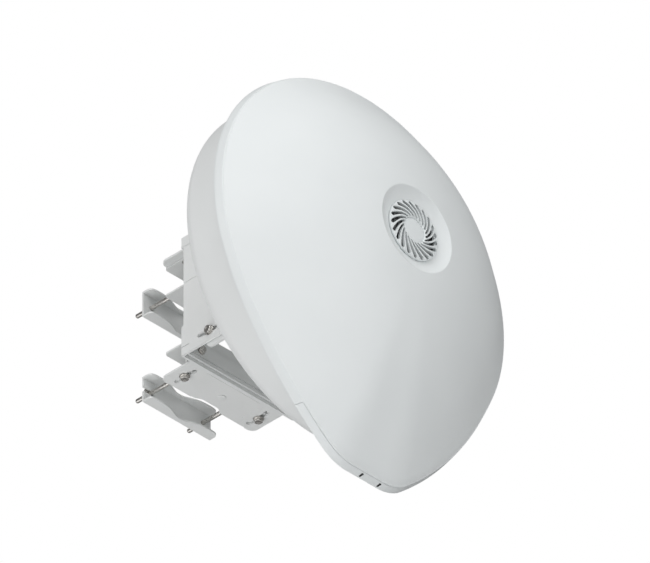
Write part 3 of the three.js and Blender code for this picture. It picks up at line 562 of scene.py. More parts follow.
# ------------------------------------------------------------------ the cover's outline
def cover_outline():
    """Points round the cover, from its top clockwise as seen from the front."""
    half = []
    centre, radius = Vector((0.0, 0.0)), RIM_RADIUS
    runs = [
        (RIM_RADIUS, 90.0, -FLANK_START, 76),
        (FLANK_RADIUS, -FLANK_START, -FLANK_END, 34),
        (CHIN_CORNER_RADIUS, -FLANK_END, -90.0, 22),
    ]
    for next_radius, start, end, steps in runs:
        angle = math.radians(start)
        centre = centre + Vector((math.cos(angle), math.sin(angle))) * (radius - next_radius)
        radius = next_radius
        points = arc(centre, radius, start, end, steps)
        half += points if not half else points[1:]
    last = half[-1]
    floor = [(last[0] * share, last[1]) for share in (0.6, 0.2, -0.2, -0.6)]
    mirrored = [(-x, z) for x, z in reversed(half[1:])]
    return half + floor + mirrored


OUTLINE = cover_outline()
CHIN_Z = min(z for x, z in OUTLINE)


def make_rays():
    """For each point of the outline: its direction, how far it is, and the chin's forward shift."""
    rays = []
    for x, z in OUTLINE:
        reach = math.hypot(x, z)
        down = (CHIN_SHIFT_START - z) / (CHIN_SHIFT_START - CHIN_Z)
        rays.append((x / reach, z / reach, reach, CHIN_SHIFT * min(max(down, 0.0), 1.0)))
    return rays


RAYS = make_rays()
DOME_CENTRE_Y = HUB_Y + math.sqrt(DOME_RADIUS ** 2 - HUB_RADIUS ** 2)
DOME_EDGE = RIM_RADIUS - DOME_INSET


def dome_y(radius):
    """Height of the dome where it is round. It is a sphere, and runs out straight near the rim."""
    if radius <= DOME_FLAT_RADIUS:
        return DOME_CENTRE_Y - math.sqrt(DOME_RADIUS ** 2 - radius ** 2)
    depth = math.sqrt(DOME_RADIUS ** 2 - DOME_FLAT_RADIUS ** 2)
    slope = DOME_FLAT_RADIUS / depth
    beyond = radius - DOME_FLAT_RADIUS
    return DOME_CENTRE_Y - depth + slope * beyond + 0.0004 * beyond ** 2


def dome_row(radius, offset=0.0, inset=0.0):
    """A row of the dome: round at the recess, and the cover's own outline at the rim."""
    share = (radius - HUB_RADIUS) / (DOME_EDGE - HUB_RADIUS)
    row = []
    for x, z, reach, shift in RAYS:
        if radius <= DOME_EDGE:
            distance = HUB_RADIUS + share * (reach - DOME_INSET - HUB_RADIUS)
        else:
            distance = reach - (RIM_RADIUS - radius)
        distance -= inset * max(share, 0.0)
        y = dome_y(radius) - shift * min(max(share, 0.0), 1.0) ** 2 + offset
        row.append((x * distance, y, z * distance + AXIS_Z))
    return row


def edge_row(inset, y):
    """A row along the cover's outline, a little inside it. The chin's share is further forward."""
    return [(x * (reach - inset), y - shift, z * (reach - inset) + AXIS_Z)
            for x, z, reach, shift in RAYS]


def round_row(radius, y):
    return [(ray[0] * radius, y, ray[1] * radius + AXIS_Z) for ray in RAYS]


# The rim band, from the cover's rear edge forwards, as insets from the outline and depths.
BAND = [(0.45, RIM_Y), (0.12, RIM_Y - 0.12), (0.06, RIM_Y - 0.5),
        (0.9, RIM_Y - 4.3), (1.75, RIM_Y - 8.2), (2.3, RIM_Y - 10.6)]


def cover_shell():
    """The whole cover as one shell: edge, rim band, roll, dome, recess, and back inside."""
    roll = [(2.42, RIM_Y - 11.25), (2.62, RIM_Y - 12.0), (2.95, RIM_Y - 12.7),
            (3.4, RIM_Y - 13.3)]
    dome = [250.45, 249.3, 247.5, *np.linspace(DOME_EDGE, HUB_RADIUS + 4, 46)]
    lip = [(HUB_RADIUS + 2.0, dome_y(HUB_RADIUS + 2.0)), (HUB_RADIUS + 1.0, dome_y(HUB_RADIUS + 1)),
           (HUB_RADIUS + 0.2, HUB_Y + 0.05), (HUB_RADIUS - 0.5, HUB_Y + 0.22),
           (HUB_RADIUS - 1.3, HUB_Y + 0.8)]
    bowl = [(59.0, HUB_Y + 2.1), (56.5, HUB_Y + 3.8), (54.0, HUB_Y + 5.2), (51.0, HUB_Y + 6.5),
            (48.0, HUB_Y + 7.5), (45.0, HUB_Y + 8.2), (42.9, HUB_Y + 8.6), (41.0, HUB_Y + 8.9),
            (VENT_HOLE + 0.5, VENT_FLOOR_Y), (VENT_HOLE, VENT_FLOOR_Y + 0.5)]
    back = [(VENT_HOLE, VENT_FLOOR_Y + COVER_WALL), (HUB_RADIUS - 12, VENT_FLOOR_Y + COVER_WALL)]
    inner = np.linspace(HUB_RADIUS + 2, DOME_EDGE, 24)
    rows = [edge_row(*station) for station in BAND + roll]
    rows += [dome_row(radius) for radius in dome]
    rows += [round_row(*station) for station in lip + bowl + back]
    rows += [dome_row(radius, COVER_WALL, COVER_WALL) for radius in inner]
    rows += [edge_row(5.6, RIM_Y - 11.4), edge_row(3.2, RIM_Y - 0.4), edge_row(2.8, RIM_Y)]
    return loft(rows, closed=True)


def ring_zone(outer, inner, rear, front):
    """A closed ring that holds what lies near the cover's edge, between two depths."""
    rows = [edge_row(outer, rear), edge_row(outer, front), edge_row(inner, front),
            edge_row(inner, rear)]
    return loft(rows, closed=True)


def chin_ring():
    """The chin's own rim band, with the plate that closes the chin behind it, all the way round."""
    seam_front = RIM_Y - 11.35
    inner = 236.0  # well above the seam, where the chin piece ends
    rows = [edge_row(*station) for station in BAND]
    rows += [edge_row(2.44, seam_front), edge_row(5.4, seam_front), edge_row(4.0, RIM_Y - 6.0),
             round_row(inner, RIM_Y - 6.0), round_row(inner, RIM_Y - 3.4),
             edge_row(3.5, RIM_Y - 3.4), edge_row(2.9, RIM_Y)]
    return loft(rows, closed=True)


def drain_outline(x, y, margin=0.0):
    """A drain slot in the chin, or what fills it when there is a margin."""
    wide, deep = DRAIN_HALF_WIDTH - margin, DRAIN_HALF_LENGTH - margin
    return rounded(x - wide, y - deep, x + wide, y + deep, DRAIN_CORNER - margin)


def build_cover():
    """The front cover, the chin piece below its seam, and a black piece in each drain slot as painted
    shade for the hole.
    """
    taken = ring_zone(-20.0, 20.0, RIM_Y + 20.0, RIM_Y - 11.9)
    below = box([-FAR, -FAR, -FAR], [FAR, 0.0, SEAM_Z])
    stand_for(cut(cover_shell(), keep_inside(taken, below)), "front_radome", smooth=35)

    chin = keep_inside(chin_ring(), box([-FAR, -FAR, -FAR], [FAR, 0.0, SEAM_Z - 0.6]))
    floor = AXIS_Z + CHIN_Z
    drains = [plate("z", drain_outline(x, y), floor - 5, floor + 6) for x, y in DRAINS.values()]
    # Painted shade: a black piece sits inside each drain slot and stands for the darkness deep in the
    # hole.
    for word, (x, y) in DRAINS.items():
        dark = plate("z", drain_outline(x, y, margin=0.05), floor + 1.0, floor + 3.0)
        add_piece(dark, f"drain_painted_shade_{word}", "chin_cover", "black_rubber")
    # A fine line scored along the chin's flat bottom, behind the drains.
    score_y = RIM_Y - CHIN_SHIFT - 7.7
    score = box([-40.0, score_y - 0.2, floor - 5], [55.0, score_y + 0.2, floor + 0.35])
    stand_for(cut(chin, *drains, score), "chin_cover", smooth=35)


# ------------------------------------------------------------------ the vent
def slot_outline(start):
    """A curved slot of the vent: it winds outwards on a spiral, grows wider, and has round ends."""
    inner, outer = 20.0, 38.8
    narrow, wide = 1.4, 2.8
    count = 16
    spine = []
    for i in range(count + 1):
        radius = inner + (outer - inner) * i / count
        angle = start + math.log(radius / inner)
        spine.append(Vector((radius * math.cos(angle), radius * math.sin(angle))))
    right, left = [], []
    for i, point in enumerate(spine):
        ahead = spine[min(i + 1, count)] - spine[max(i - 1, 0)]
        heading = math.degrees(math.atan2(ahead.y, ahead.x))
        half = narrow + (wide - narrow) * i / count
        right.append(on_circle(point, half, heading - 90))
        left.append(on_circle(point, half, heading + 90))
        if i == 0:
            start_cap = arc(point, half, heading + 90, heading + 270, 8)[1:-1]
        if i == count:
            end_cap = arc(point, half, heading - 90, heading + 90, 8)[1:-1]
    ring = right + end_cap + left[::-1] + start_cap
    return [(x, z + AXIS_Z) for x, z in ring]


def build_vent():
    """A disc that swells towards the cap's edge, with slots cut through it and a shallow cap."""
    first_angle = -0.09
    disc = stack("y", (0.0, AXIS_Z), [
        (-391.85, VENT_RADIUS), (-393.2, VENT_RADIUS), (-393.8, VENT_RADIUS - 0.3),
        (-394.3, 41.4), (-395.0, 39.0), (-395.8, 35.0), (-396.4, 30.0), (-396.6, 25.0),
        (-396.3, 21.0), (-395.6, 18.6), (-394.8, 17.9), (-393.35, 17.8)], 144)
    cutters = []
    for i in range(VENT_SLOTS):
        outline = slot_outline(2 * math.pi * i / VENT_SLOTS + first_angle)
        cutters.append(plate("y", outline, -400.0, -385.0))
    grille = round_edges(cut(disc, *cutters), 0.8, 3, 50)
    stand_for(grille, "vent_grille", smooth=40)
    cap = stack("y", (0.0, AXIS_Z), [
        (-393.45, 16.6), (-393.55, 17.3), (-393.8, CAP_RADIUS), (-394.2, 17.0), (-394.5, 16.0),
        (-394.7, 13.0), (-394.85, 7.0), (-394.9, 1.0)], 96)
    stand_for(cap, "vent_cap", smooth=40)


# ------------------------------------------------------------------ housing
def build_housing():
    """The round pan behind the cover, with a lip that reaches out to the cover's rim."""
    front = RIM_Y - 5.5
    back = PAN_BACK_Y
    step = back - 1.2  # the floor of the two shallow rings pressed into the pan's back
    hole = 1.0  # the pan is turned round a small hole, which the plug then fills
    corner = (PAN_BACK_RADIUS - PAN_CORNER, back - PAN_CORNER)
    outside = arc(corner, PAN_CORNER, 0, 90, 12)
    inside = arc(corner, PAN_CORNER - PAN_WALL, 90, 0, 10)
    rings = [(206.0, back), (205.2, step), (198.0, step), (197.2, back),
             (150.0, back), (149.2, step), (144.0, step), (143.2, back)]
    profile = [(PAN_FRONT_RADIUS, front), *outside, *rings, (hole, back), (hole, back - PAN_WALL),
               *inside, (PAN_FRONT_RADIUS - PAN_WALL, front)]
    pan = loft(turned(profile, 160), closed=True)
    plug = cylinder("y", (0.0, AXIS_Z), 6.0, back - PAN_WALL, back - 0.01)
    lip_inset = COVER_WALL + 2.5
    lip_rear, lip_front = RIM_Y - 3.4, RIM_Y - 6.0
    lip = loft([edge_row(lip_inset, lip_rear), edge_row(lip_inset, lip_front),
                round_row(PAN_FRONT_RADIUS - 2, lip_front),
                round_row(PAN_FRONT_RADIUS - 2, lip_rear)], closed=True)
    above = box([-FAR, -FAR, SEAM_Z + GAP], [FAR, 0.0, FAR])
    holes = [cylinder("y", at, M6_HOLE, back - 10, back + 5) for at in BRACKET_SCREWS]
    holes.append(cylinder("y", (0.0, GROUND_Z), GROUND_HOLE, back - 10, back + 5))
    pan = join(pan, plug, keep_inside(lip, above))
    stand_for(cut(pan, *holes), "rear_housing", smooth=35)


# ------------------------------------------------------------------ fasteners
def hexagon(across_corners):
    """Distance from the middle to a hexagon's side, as a function of angle."""
    flat = across_corners * math.cos(math.pi / 6)
    return lambda angle: flat / math.cos((angle + math.pi / 6) % (math.pi / 3) - math.pi / 6)


def chamfered(across, height, top_radius):
    """The hexagon cut by a cone, at a height below the top."""
    side = hexagon(across)
    slope = 1.75
    return lambda angle: min(side(angle), top_radius + slope * height)


def hex_levels(start, direction, height, across=HEX_CORNER):
    """Levels of a hexagon head from its seat: straight sides, then a chamfered top."""
    top = across * 0.80
    levels = [(start, chamfered(across, 9.0, top))]
    for below in (0.9, 0.6, 0.3, 0.0):
        levels.append((start + direction * (height - below), chamfered(across, below, top)))
    return levels


def spiral_thread(axis, centre, start, end, radius, pitch=1.0):
    """A threaded shaft: a ridge that winds round it, and a taper over its last turn."""
    steps = 20
    ridge, taper = 0.12, 0.4
    rows = []
    count = int(abs(end - start) / (pitch / 4))
    for j in range(count + 1):
        height = start + (end - start) * j / count
        row = []
        fade = min(1.0, (count - j) / 4)
        for i in range(steps):
            angle = 2 * math.pi * i / steps
            phase = (abs(height - start) / pitch + i / steps) % 1.0
            depth = ridge * (1 - abs(2 * phase - 1)) + taper * (1 - fade)
            r = radius - depth
            row.append(ALONG[axis](
                centre[0] + r * math.cos(angle), centre[1] + r * math.sin(angle), height))
        rows.append(row)
    return loft(rows, closed=False)


def build_bolt(node, axis, seat, end, side, centre, radius=M6_RADIUS):
    """A flanged hexagon bolt on a spring washer. Its head stands on the seat."""
    washer = stack(axis, centre, [
        (seat + side * 0.4, 6.6), (seat + side * 0.5, 6.9), (seat + side * 1.0, 6.9),
        (seat + side * 1.15, 6.5), (seat + side * 1.2, 5.6), (seat + side * 1.45, 5.6),
        (seat + side * 1.5, 6.3), (seat + side * 1.85, 6.35), (seat + side * 2.2, 5.9)])
    head = stack(axis, centre, hex_levels(seat + side * 1.9, side, HEAD_HEIGHT))
    dimple = stack(axis, centre, [(seat + side * 5.3, 2.2), (seat + side * 5.9, 3.4)], 32)
    shank = spiral_thread(axis, centre, seat + side * 1.0, end, radius)
    bolt = join(washer, head, shank)
    stand_for(cut(bolt, dimple), node, smooth=30)


def build_nut(node, axis, seat, side, centre, flange=True):
    """A hexagon nut, with or without a flange, whose hole widens at the far end."""
    levels = hex_levels(seat + side * (1.2 if flange else 0.0), side, NUT_HEIGHT)
    nut = stack(axis, centre, levels)
    if flange:
        nut = join(nut, stack(axis, centre, [
            (seat, 6.6), (seat + side * 0.15, 6.95), (seat + side * 0.9, 6.95),
            (seat + side * 1.5, 6.0)]))
    hole = stack(axis, centre, [
        (seat - side * 1.0, M6_HOLE), (seat + side * 4.9, M6_HOLE), (seat + side * 6.2, 4.4)], 32)
    stand_for(cut(nut, hole), node, smooth=30)


# ------------------------------------------------------------------ tilt bracket
def fold(left, right, front, rear, bend, sheet):
    """Section of a U with its web across X and its arms along Y, open towards `front`."""
    inner = max(bend - sheet, INNER_BEND)
    corner = sheet + inner
    return [
        (left, front), *arc((left + bend, rear - bend), bend, 180, 90, 6),
        *arc((right - bend, rear - bend), bend, 90, 0, 6), (right, front),
        (right - sheet, front), *arc((right - corner, rear - corner), inner, 0, 90, 4),
        *arc((left + corner, rear - corner), inner, 90, 180, 4), (left + sheet, front),
    ]


def build_tilt_bracket():
    face = PAN_BACK_Y + GAP
    section = [(x, -y) for x, y in fold(-EAR_OUTER, EAR_OUTER, -EAR_REAR_Y, -face, BEND, SHEET)]
    body = plate("z", section, EAR_LOW_Z, EAR_HIGH_Z)
    ear = [(face - 1, EAR_LOW_Z - 1), (-150.0, EAR_LOW_Z - 1), (-150.0, EAR_LOW_Z),
           *arc((EAR_REAR_Y - EAR_CORNER, EAR_LOW_Z + EAR_CORNER), EAR_CORNER, -90, 0, 10),
           *arc((EAR_REAR_Y - EAR_CORNER, EAR_HIGH_Z - EAR_CORNER), EAR_CORNER, 0, 90, 10),
           (-150.0, EAR_HIGH_Z), (-150.0, EAR_HIGH_Z + 1), (face - 1, EAR_HIGH_Z + 1)]
    body = keep_inside(body, plate("x", ear, -110.0, 110.0))
    cuts = [
        box([-EAR_INNER + 1.5, face - 1, -120.0], [EAR_INNER - 1.5, face + SHEET + 1, -78.0]),
        plate("y", rounded(-40.0, -40.0, 40.0, 45.0, 12.0), face - 1, face + SHEET + 1),
        cylinder("x", (TILT_Y, TILT_Z), M6_HOLE, -110.0, 110.0),
        cylinder("x", (TILT_Y, TILT_LOCK_Z), M6_HOLE, -110.0, 110.0),
    ]
    cuts += [cylinder("y", at, M6_HOLE, face - 1, face + SHEET + 1) for at in BRACKET_SCREWS]
    stand_for(round_edges(cut(body, *cuts), 0.45), "tilt_bracket", flat=True)

    for i, at in enumerate(BRACKET_SCREWS):
        build_bolt(f"bracket_screw_{i + 1}", "y", face + SHEET, PAN_BACK_Y - 7, 1, at)
    build_bolt("ground_screw", "y", PAN_BACK_Y, PAN_BACK_Y - 7, 1, (0.0, GROUND_Z),
               GROUND_SCREW_RADIUS)
    for side, word in ((-1, "left"), (1, "right")):
        for name, z in (("pivot", TILT_Z), ("lock", TILT_LOCK_Z)):
            at = (TILT_Y, z)
            build_bolt(f"tilt_{name}_bolt_{word}", "x", side * FRAME_HALF_WIDTH, side * 84.0, side, at)
            build_nut(f"tilt_{name}_nut_{word}", "x", side * (EAR_INNER - GAP), -side, at)


# ------------------------------------------------------------------ azimuth frame
def flange_outline():
    """A flange of the frame: a rounded tab at each rear corner and a shallow bay between them."""
    rear = FLANGE_REAR_Y
    tab = rear + FLANGE_TAB
    half = [
        (FLANGE_HALF_WIDTH, FRAME_REAR_Y - 1), (FLANGE_HALF_WIDTH, tab - 9),
        (FLANGE_HALF_WIDTH - 0.8, tab - 5.5), (FLANGE_HALF_WIDTH - 3, tab - 2.6),
        (FLANGE_HALF_WIDTH - 6, tab - 0.8), (FLANGE_HALF_WIDTH - 10, tab),
        # The tab's inner side, then one half of the bay.
        (67.5, tab), (66.6, tab - 0.5), (65.5, rear),
        (25.0, rear), (22.0, rear - 0.6), (15.5, rear - 4.2), (12.5, rear - 5.0)]
    return half + [(-x, y) for x, y in reversed(half)]


def frame_body():
    """A U round the web's sides, with a flange along its top and bottom edges."""
    tall, corner = FRAME_HALF_HEIGHT, 8
    section = fold(-FRAME_HALF_WIDTH, FRAME_HALF_WIDTH, FRAME_FRONT_Y, FRAME_REAR_Y, BEND, SHEET)
    body = plate("z", section, -tall, tall)
    side = [
        *arc((FRAME_FRONT_Y + corner, -tall + corner), corner, 180, 270, 8),
        (FRAME_REAR_Y + 1, -tall), (FRAME_REAR_Y + 1, tall),
        *arc((FRAME_FRONT_Y + corner, tall - corner), corner, 90, 180, 8)]
    body = keep_inside(body, plate("x", side, -110.0, 110.0))
    flanges = [plate("z", flange_outline(), *sorted((up * tall, up * (tall - SHEET))))
               for up in (-1, 1)]
    # A low bead across the underside of the bottom flange.
    bead = plate("z", rounded(-51.0, -74.8, 47.0, -72.4, 1.0), -tall - 0.5, -tall + 1)
    return join(body, *flanges, bead)


def side_cuts(hand):
    """What is cut out of one side of the frame: its rear step, bend relief, bolt hole and grooves."""
    face, behind = FRAME_HALF_WIDTH, FRAME_REAR_Y + 1
    left, right = sorted((hand * (face - SHEET - 1.2), hand * (face + 1)))
    step = [(STEP_Y, STEP_LOW_Z), (behind, STEP_LOW_Z - 1.5), (behind, WINDOW_HIGH_Z + 1.5),
            (STEP_Y, WINDOW_HIGH_Z)]
    # The relief is a short slit at the foot of the side plate, beside the fold.
    relief = rounded(-92.0, -78.9, FRAME_REAR_Y + 2, -77.8, 0.5, 4)
    bolt = (hand * STIFFENER_BOLT_X, STIFFENER_BOLT_Z)
    cuts = [
        plate("x", step, left, right),
        cylinder("y", bolt, M6_HOLE, FRAME_REAR_Y - SHEET - 1, behind),
        plate("x", relief, left, right),
    ]
    inner, outer = sorted((hand * (face - GROOVE_DEPTH), hand * (face + 1)))
    for z in SIDE_GROOVES:
        cuts.append(box([inner, FRAME_FRONT_Y - 1, z - GROOVE_HALF_WIDTH],
                        [outer, FRAME_REAR_Y + 2, z + GROOVE_HALF_WIDTH]))
    return cuts


def build_frame():
    inner_x = FRAME_HALF_WIDTH - SHEET
    tall = FRAME_HALF_HEIGHT
    tilt_slot = arc_slot((TILT_Y, TILT_Z), TILT_SLOT_RADIUS, -90, 8.6, M6_HOLE)
    cuts = [
        box([-inner_x + 1.0, FRAME_REAR_Y - SHEET - 1.5, WINDOW_LOW_Z],
            [inner_x - 1.0, FRAME_REAR_Y + 1, WINDOW_HIGH_Z]),
        cylinder("z", (0.0, AZIMUTH_Y), M6_HOLE, -100.0, 100.0),
        cylinder("x", (TILT_Y, TILT_Z), M6_HOLE, -110.0, 110.0),
        plate("x", tilt_slot, -110.0, 110.0),
    ]
    for middle in (0, 180):
        slot = arc_slot((0.0, AZIMUTH_Y), AZIMUTH_BOLT_X, middle, 14, M6_HOLE)
        cuts.append(plate("z", slot, -100.0, 100.0))
    cuts += side_cuts(-1) + side_cuts(1)
    for angle in SCALE_DOTS:
        at = on_circle((0.0, AZIMUTH_Y), SCALE_RADIUS, angle)
        cuts.append(cylinder("z", at, 0.9, -tall - 1, -tall + 0.45, 16))
    stand_for(round_edges(cut(frame_body(), *cuts), 0.4), "azimuth_frame", flat=True)


def build_stiffener():
    rear = FRAME_REAR_Y - SHEET - GAP
    front = rear - SHEET
    half, notch, radius = STIFFENER_HALF_WIDTH, NOTCH_HALF_WIDTH, NOTCH_RADIUS
    outline = [
        *arc((-half + 4, STIFFENER_LOW_Z + 4), 4, 180, 270, 6),
        *arc((half - 4, STIFFENER_LOW_Z + 4), 4, 270, 360, 6),
        *arc((half - 4, STIFFENER_HIGH_Z - 4), 4, 0, 90, 6),
        (notch, STIFFENER_HIGH_Z),
        *arc((notch - radius, NOTCH_FLOOR_Z + radius), radius, -2, -90, 14),
        *arc((-notch + radius, NOTCH_FLOOR_Z + radius), radius, -90, -178, 14),
        (-notch, STIFFENER_HIGH_Z),
        *arc((-half + 4, STIFFENER_HIGH_Z - 4), 4, 90, 180, 6)]
    bolts = [(-STIFFENER_BOLT_X, "left"), (STIFFENER_BOLT_X, "right")]
    holes = [circle((x, STIFFENER_BOLT_Z), M6_HOLE) for x, word in bolts]
    body = plate("y", outline, front, rear, holes)
    # A groove along the foot of the plate.
    groove = box([-half - 1, front - 1, STIFFENER_LOW_Z + 5.4],
                 [half + 1, front + 1.5, STIFFENER_LOW_Z + 6.6])
    stand_for(round_edges(cut(body, groove), 0.4), "web_stiffener", flat=True)
    for x, word in bolts:
        at = (x, STIFFENER_BOLT_Z)
        build_bolt(f"stiffener_bolt_{word}", "y", front, FRAME_REAR_Y + 2, -1, at)


# ------------------------------------------------------------------ pole channels and clamps
def channel_outline(middle):
    """Outline of a channel's flange in X and Y, with its rear corners rounded."""
    half, rear, corner = CHANNEL_HALF_WIDTH, CHANNEL_REAR_Y, 5.0
    start = CHANNEL_FRONT_Y + 4.0
    right = [(half, start), *arc((half - corner, rear - corner), corner, 0, 90, 8), *middle]
    return right + [(-x, y) for x, y in reversed(right) if x > 0]


def channel_section(low, high):
    """Section of the channel in Y and Z: its web and both bends."""
    bend, sheet, inner = CHANNEL_BEND, CHANNEL_SHEET, INNER_BEND
    front = CHANNEL_FRONT_Y
    corner = sheet + inner
    reach = front + corner + 2
    return [
        (reach, low), *arc((front + bend, low + bend), bend, 270, 180, 6),
        *arc((front + bend, high - bend), bend, 180, 90, 6), (reach, high), (reach, high - sheet),
        *arc((front + corner, high - corner), inner, 90, 180, 4),
        *arc((front + corner, low + corner), inner, 180, 270, 4), (reach, low + sheet)]


def build_channel(word, up):
    half = CHANNEL_HALF_WIDTH
    low, high = sorted((up * CHANNEL_INNER_Z, up * CHANNEL_OUTER_Z))
    body = plate("x", channel_section(low, high), -half, half)
    apex = -MAST_RADIUS / math.cos(math.pi / 6) - 0.3
    v_half = (CHANNEL_REAR_Y - apex) / math.tan(math.pi / 6)
    inner = channel_outline([(v_half, CHANNEL_REAR_Y), (0.0, apex)])
    outer = channel_outline([(26.0, CHANNEL_REAR_Y), (15.0, apex - 2)])
    inner_span = sorted((up * CHANNEL_INNER_Z, up * (CHANNEL_INNER_Z + CHANNEL_SHEET)))
    outer_span = sorted((up * CHANNEL_OUTER_Z, up * (CHANNEL_OUTER_Z - CHANNEL_SHEET)))
    body = join(body, plate("z", inner, *inner_span), plate("z", outer, *outer_span))
    span = sorted((up * (CHANNEL_OUTER_Z - 10), up * (CHANNEL_OUTER_Z + 10)))
    cuts = [cylinder("z", (0.0, AZIMUTH_Y), M6_HOLE, *span)]
    for hand in (-1, 1):
        cuts.append(cylinder("z", (hand * AZIMUTH_BOLT_X, AZIMUTH_Y), M6_HOLE, *span))
        cuts.append(cylinder("y", (hand * ROD_X, ROD_Z[word]), M6_HOLE, CHANNEL_FRONT_Y - 1,
                             CHANNEL_FRONT_Y + 4))
    stand_for(round_edges(cut(body, *cuts), 0.35), f"pole_channel_{word}", flat=True)

    face = up * FRAME_HALF_HEIGHT
    inside = up * (CHANNEL_OUTER_Z - CHANNEL_SHEET - GAP)
    pivot = stack("z", (0.0, AZIMUTH_Y), [
        (face + up * 1.4, 4.6), (face + up * 1.25, 5.15), (face + up * 0.4, 5.3),
        (face + up * 0.39, M6_RADIUS), (inside + up * 0.01, M6_RADIUS), (inside, 5.3),
        (inside - up * 1.7, 5.2), (inside - up * 2.0, 4.7)])
    stand_for(pivot, f"azimuth_pivot_{word}")
    for hand, name in ((-1, "left"), (1, "right")):
        build_bolt(f"azimuth_lock_bolt_{word}_{name}", "z", face, up * (CHANNEL_OUTER_Z - 4), up,
                   (hand * AZIMUTH_BOLT_X, AZIMUTH_Y))
        at = (hand * ROD_X, ROD_Z[word])
        seat = CHANNEL_FRONT_Y - GAP
        rod = spiral_thread("y", at, seat - 1, ROD_END_Y, M6_RADIUS)
        rod = join(rod, stack("y", at, hex_levels(seat, -1, 4.1)))
        stand_for(rod, f"clamp_rod_{word}_{name}", smooth=30)


def smooth_curve(points, steps=5):
    """A Catmull-Rom curve through the points."""
    padded = [points[0], *points, points[-1]]
    made = []
    for i in range(1, len(padded) - 2):
        a, b, c, d = (Vector(p) for p in padded[i - 1:i + 3])
        for j in range(steps):
            t = j / steps
            made.append(tuple(0.5 * (
                2 * b + (c - a) * t + (2 * a - 5 * b + 4 * c - d) * t ** 2
                + (3 * b - a - 3 * c + d) * t ** 3)))
    made.append(tuple(points[-1]))
    return made


JAW_EDGE = [(60.0, 24.5), (59.4, 20.6), (57.6, 17.6), (54.0, 16.0), (48.0, 15.3), (40.0, 15.3),
            (32.0, 15.9), (25.5, 17.0), (19.5, 18.9), (13.0, 21.5), (8.0, 23.5), (4.0, 24.45)]


def build_jaw(word):
    middle = ROD_Z[word]
    low, high = middle - JAW_HALF_HEIGHT, middle + JAW_HALF_HEIGHT
    bend, sheet, inner = JAW_BEND, CHANNEL_SHEET, INNER_BEND
    rear = JAW_REAR_Y
    corner = sheet + inner
    reach = rear - corner - 1.5
    section = [
        (reach, low), *arc((rear - bend, low + bend), bend, 270, 360, 6),
        *arc((rear - bend, high - bend), bend, 0, 90, 6), (reach, high), (reach, high - sheet),
        *arc((rear - corner, high - corner), inner, 90, 0, 4),
        *arc((rear - corner, low + corner), inner, 0, -90, 4), (reach, low + sheet)]
    body = plate("x", section, -JAW_HALF_WIDTH, JAW_HALF_WIDTH)
    curve = smooth_curve(JAW_EDGE)
    right = [(JAW_HALF_WIDTH, rear - corner), *curve, (0.0, MAST_RADIUS + GAP)]
    edge = right + [(-x, y) for x, y in reversed(right) if x > 0]
    body = join(body, *[plate("z", edge, z, z + sheet) for z in (low, high - sheet)])
    cuts = [cylinder("y", (hand * ROD_X, middle), M6_HOLE, rear - 4, rear + 1)
            for hand in (-1, 1)]
    if word == "lower":
        cuts.append(box([-JAW_HALF_WIDTH - 1, rear - 4, middle - M6_HOLE],
                        [-ROD_X, rear + 1, middle + M6_HOLE]))
    stand_for(round_edges(cut(body, *cuts), 0.35), f"clamp_jaw_{word}", flat=True)

    front = rear + GAP
    for hand, name in ((-1, "left"), (1, "right")):
        at = (hand * ROD_X, ROD_Z[word])
        washer = loft(turned([
            (3.5, front), (8.8, front), (9.0, front + 0.2), (9.0, front + 1.4), (8.8, front + 1.6),
            (3.5, front + 1.6)], 48, at), closed=True)
        stand_for(washer, f"clamp_washer_{word}_{name}")
        build_nut(f"clamp_nut_{word}_{name}", "y", front + 1.6 + GAP, 1, at)


# ------------------------------------------------------------------ build
build_cover()
build_vent()
build_housing()
build_tilt_bracket()
build_frame()
build_stiffener()
for clamp, direction in (("upper", 1), ("lower", -1)):
    build_channel(clamp, direction)
    build_jaw(clamp)


# ------------------------------------------------------------------ floor, light and camera
def build_floor():
    size, height = 9000.0, -1750.0
    mesh = bpy.data.meshes.new("floor")
    corners = [(-size, -size), (size, -size), (size, size), (-size, size)]
    mesh.from_pydata([(x * MM, y * MM, height * MM) for x, y in corners], [], [(0, 1, 2, 3)])
    floor = bpy.data.objects.new("floor", mesh)
    bpy.context.scene.collection.objects.link(floor)
    material, nodes, shader, place = start_material("floor")
    tone = nodes.mix(nodes.spread(nodes.noise(place, 3.0, 3.0), 0.0, 1.0),
                     (0.80, 0.80, 0.80), (0.77, 0.77, 0.77))
    link(nodes, shader, base_color=tone, roughness=0.7)
    floor.data.materials.append(material)


def build_world(ambient):
    """Even studio light all round, with a plain white background behind the object."""
    world = bpy.data.worlds.new("studio")
    bpy.context.scene.world = world
    world.use_nodes = True
    world.node_tree.nodes.clear()
    nodes = Nodes(world.node_tree)
    soft = nodes.add("ShaderNodeBackground", {"Color": (1, 1, 1, 1), "Strength": ambient})
    white = nodes.add("ShaderNodeBackground", {"Color": (1, 1, 1, 1), "Strength": 1.0})
    seen = nodes.add("ShaderNodeLightPath").outputs["Is Camera Ray"]
    mixed = nodes.add("ShaderNodeMixShader", {
        0: seen, 1: soft.outputs["Background"], 2: white.outputs["Background"]})
    nodes.add("ShaderNodeOutputWorld", {"Surface": mixed.outputs["Shader"]})


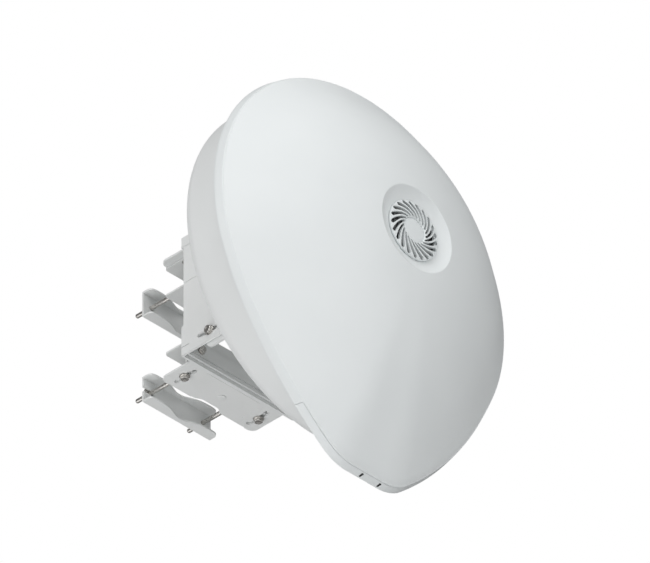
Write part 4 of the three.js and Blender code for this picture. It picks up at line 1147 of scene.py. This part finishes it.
def build_light(name, direction, power, size, distance):
    """A square soft box that faces the middle of the object."""
    middle = Vector((0.0, -0.2, 0.0))
    data = bpy.data.lights.new(name, "AREA")
    data.shape = "SQUARE"
    data.size = size
    data.energy = power
    light = bpy.data.objects.new(name, data)
    bpy.context.scene.collection.objects.link(light)
    away = Vector(direction).normalized()
    light.location = middle + away * distance
    light.rotation_mode = "QUATERNION"
    light.rotation_quaternion = away.to_track_quat("Z", "Y")


VIEW_MIDDLE = (0.0797, -0.1552, 0.0755)
VIEW_WIDTH = 0.8216
VIEW_DISTANCE = 2.2


def build_camera():
    """An isometric camera in front of the object, to its left and below it, looking up."""
    data = bpy.data.cameras.new("camera")
    data.type = "ORTHO"
    data.ortho_scale = VIEW_WIDTH
    data.clip_end = 50.0
    camera = bpy.data.objects.new("camera", data)
    bpy.context.scene.collection.objects.link(camera)
    forward = Vector((1.0, 1.0, 1.0)).normalized()
    camera.location = Vector(VIEW_MIDDLE) - forward * VIEW_DISTANCE
    camera.rotation_mode = "QUATERNION"
    camera.rotation_quaternion = forward.to_track_quat("-Z", "Y")
    bpy.context.scene.camera = camera


AMBIENT = 0.16  # strength of the even light from all round
# Soft boxes: name, direction from the object, watts, then width and distance in metres.
LIGHTS = [
    ("key_left_top", (-0.70, -0.45, 0.60), 25.9, 1.6, 2.6),
    ("front", (-0.10, -1.0, 0.10), 29.0, 2.0, 2.6),
    ("left", (-1.0, 0.0, 0.05), 16.8, 1.8, 2.6),
    ("top", (0.0, -0.2, 1.0), 6.0, 2.0, 2.6),
    ("below", (-0.2, -0.3, -1.0), 2.4, 1.0, 1.5),
    ("low_rear", (-0.6, 0.5, -0.9), 6.2, 1.0, 1.6),
    ("right", (1.0, -0.4, 0.0), 4.0, 1.8, 2.6),
    ("behind", (0.2, 1.0, 0.4), 9.0, 1.8, 2.6),
]
build_floor()
build_world(AMBIENT)
for light_name, toward, watts, width, away in LIGHTS:
    build_light(light_name, toward, watts, width, away)
build_camera()
bpy.context.scene.view_settings.view_transform = "Standard"
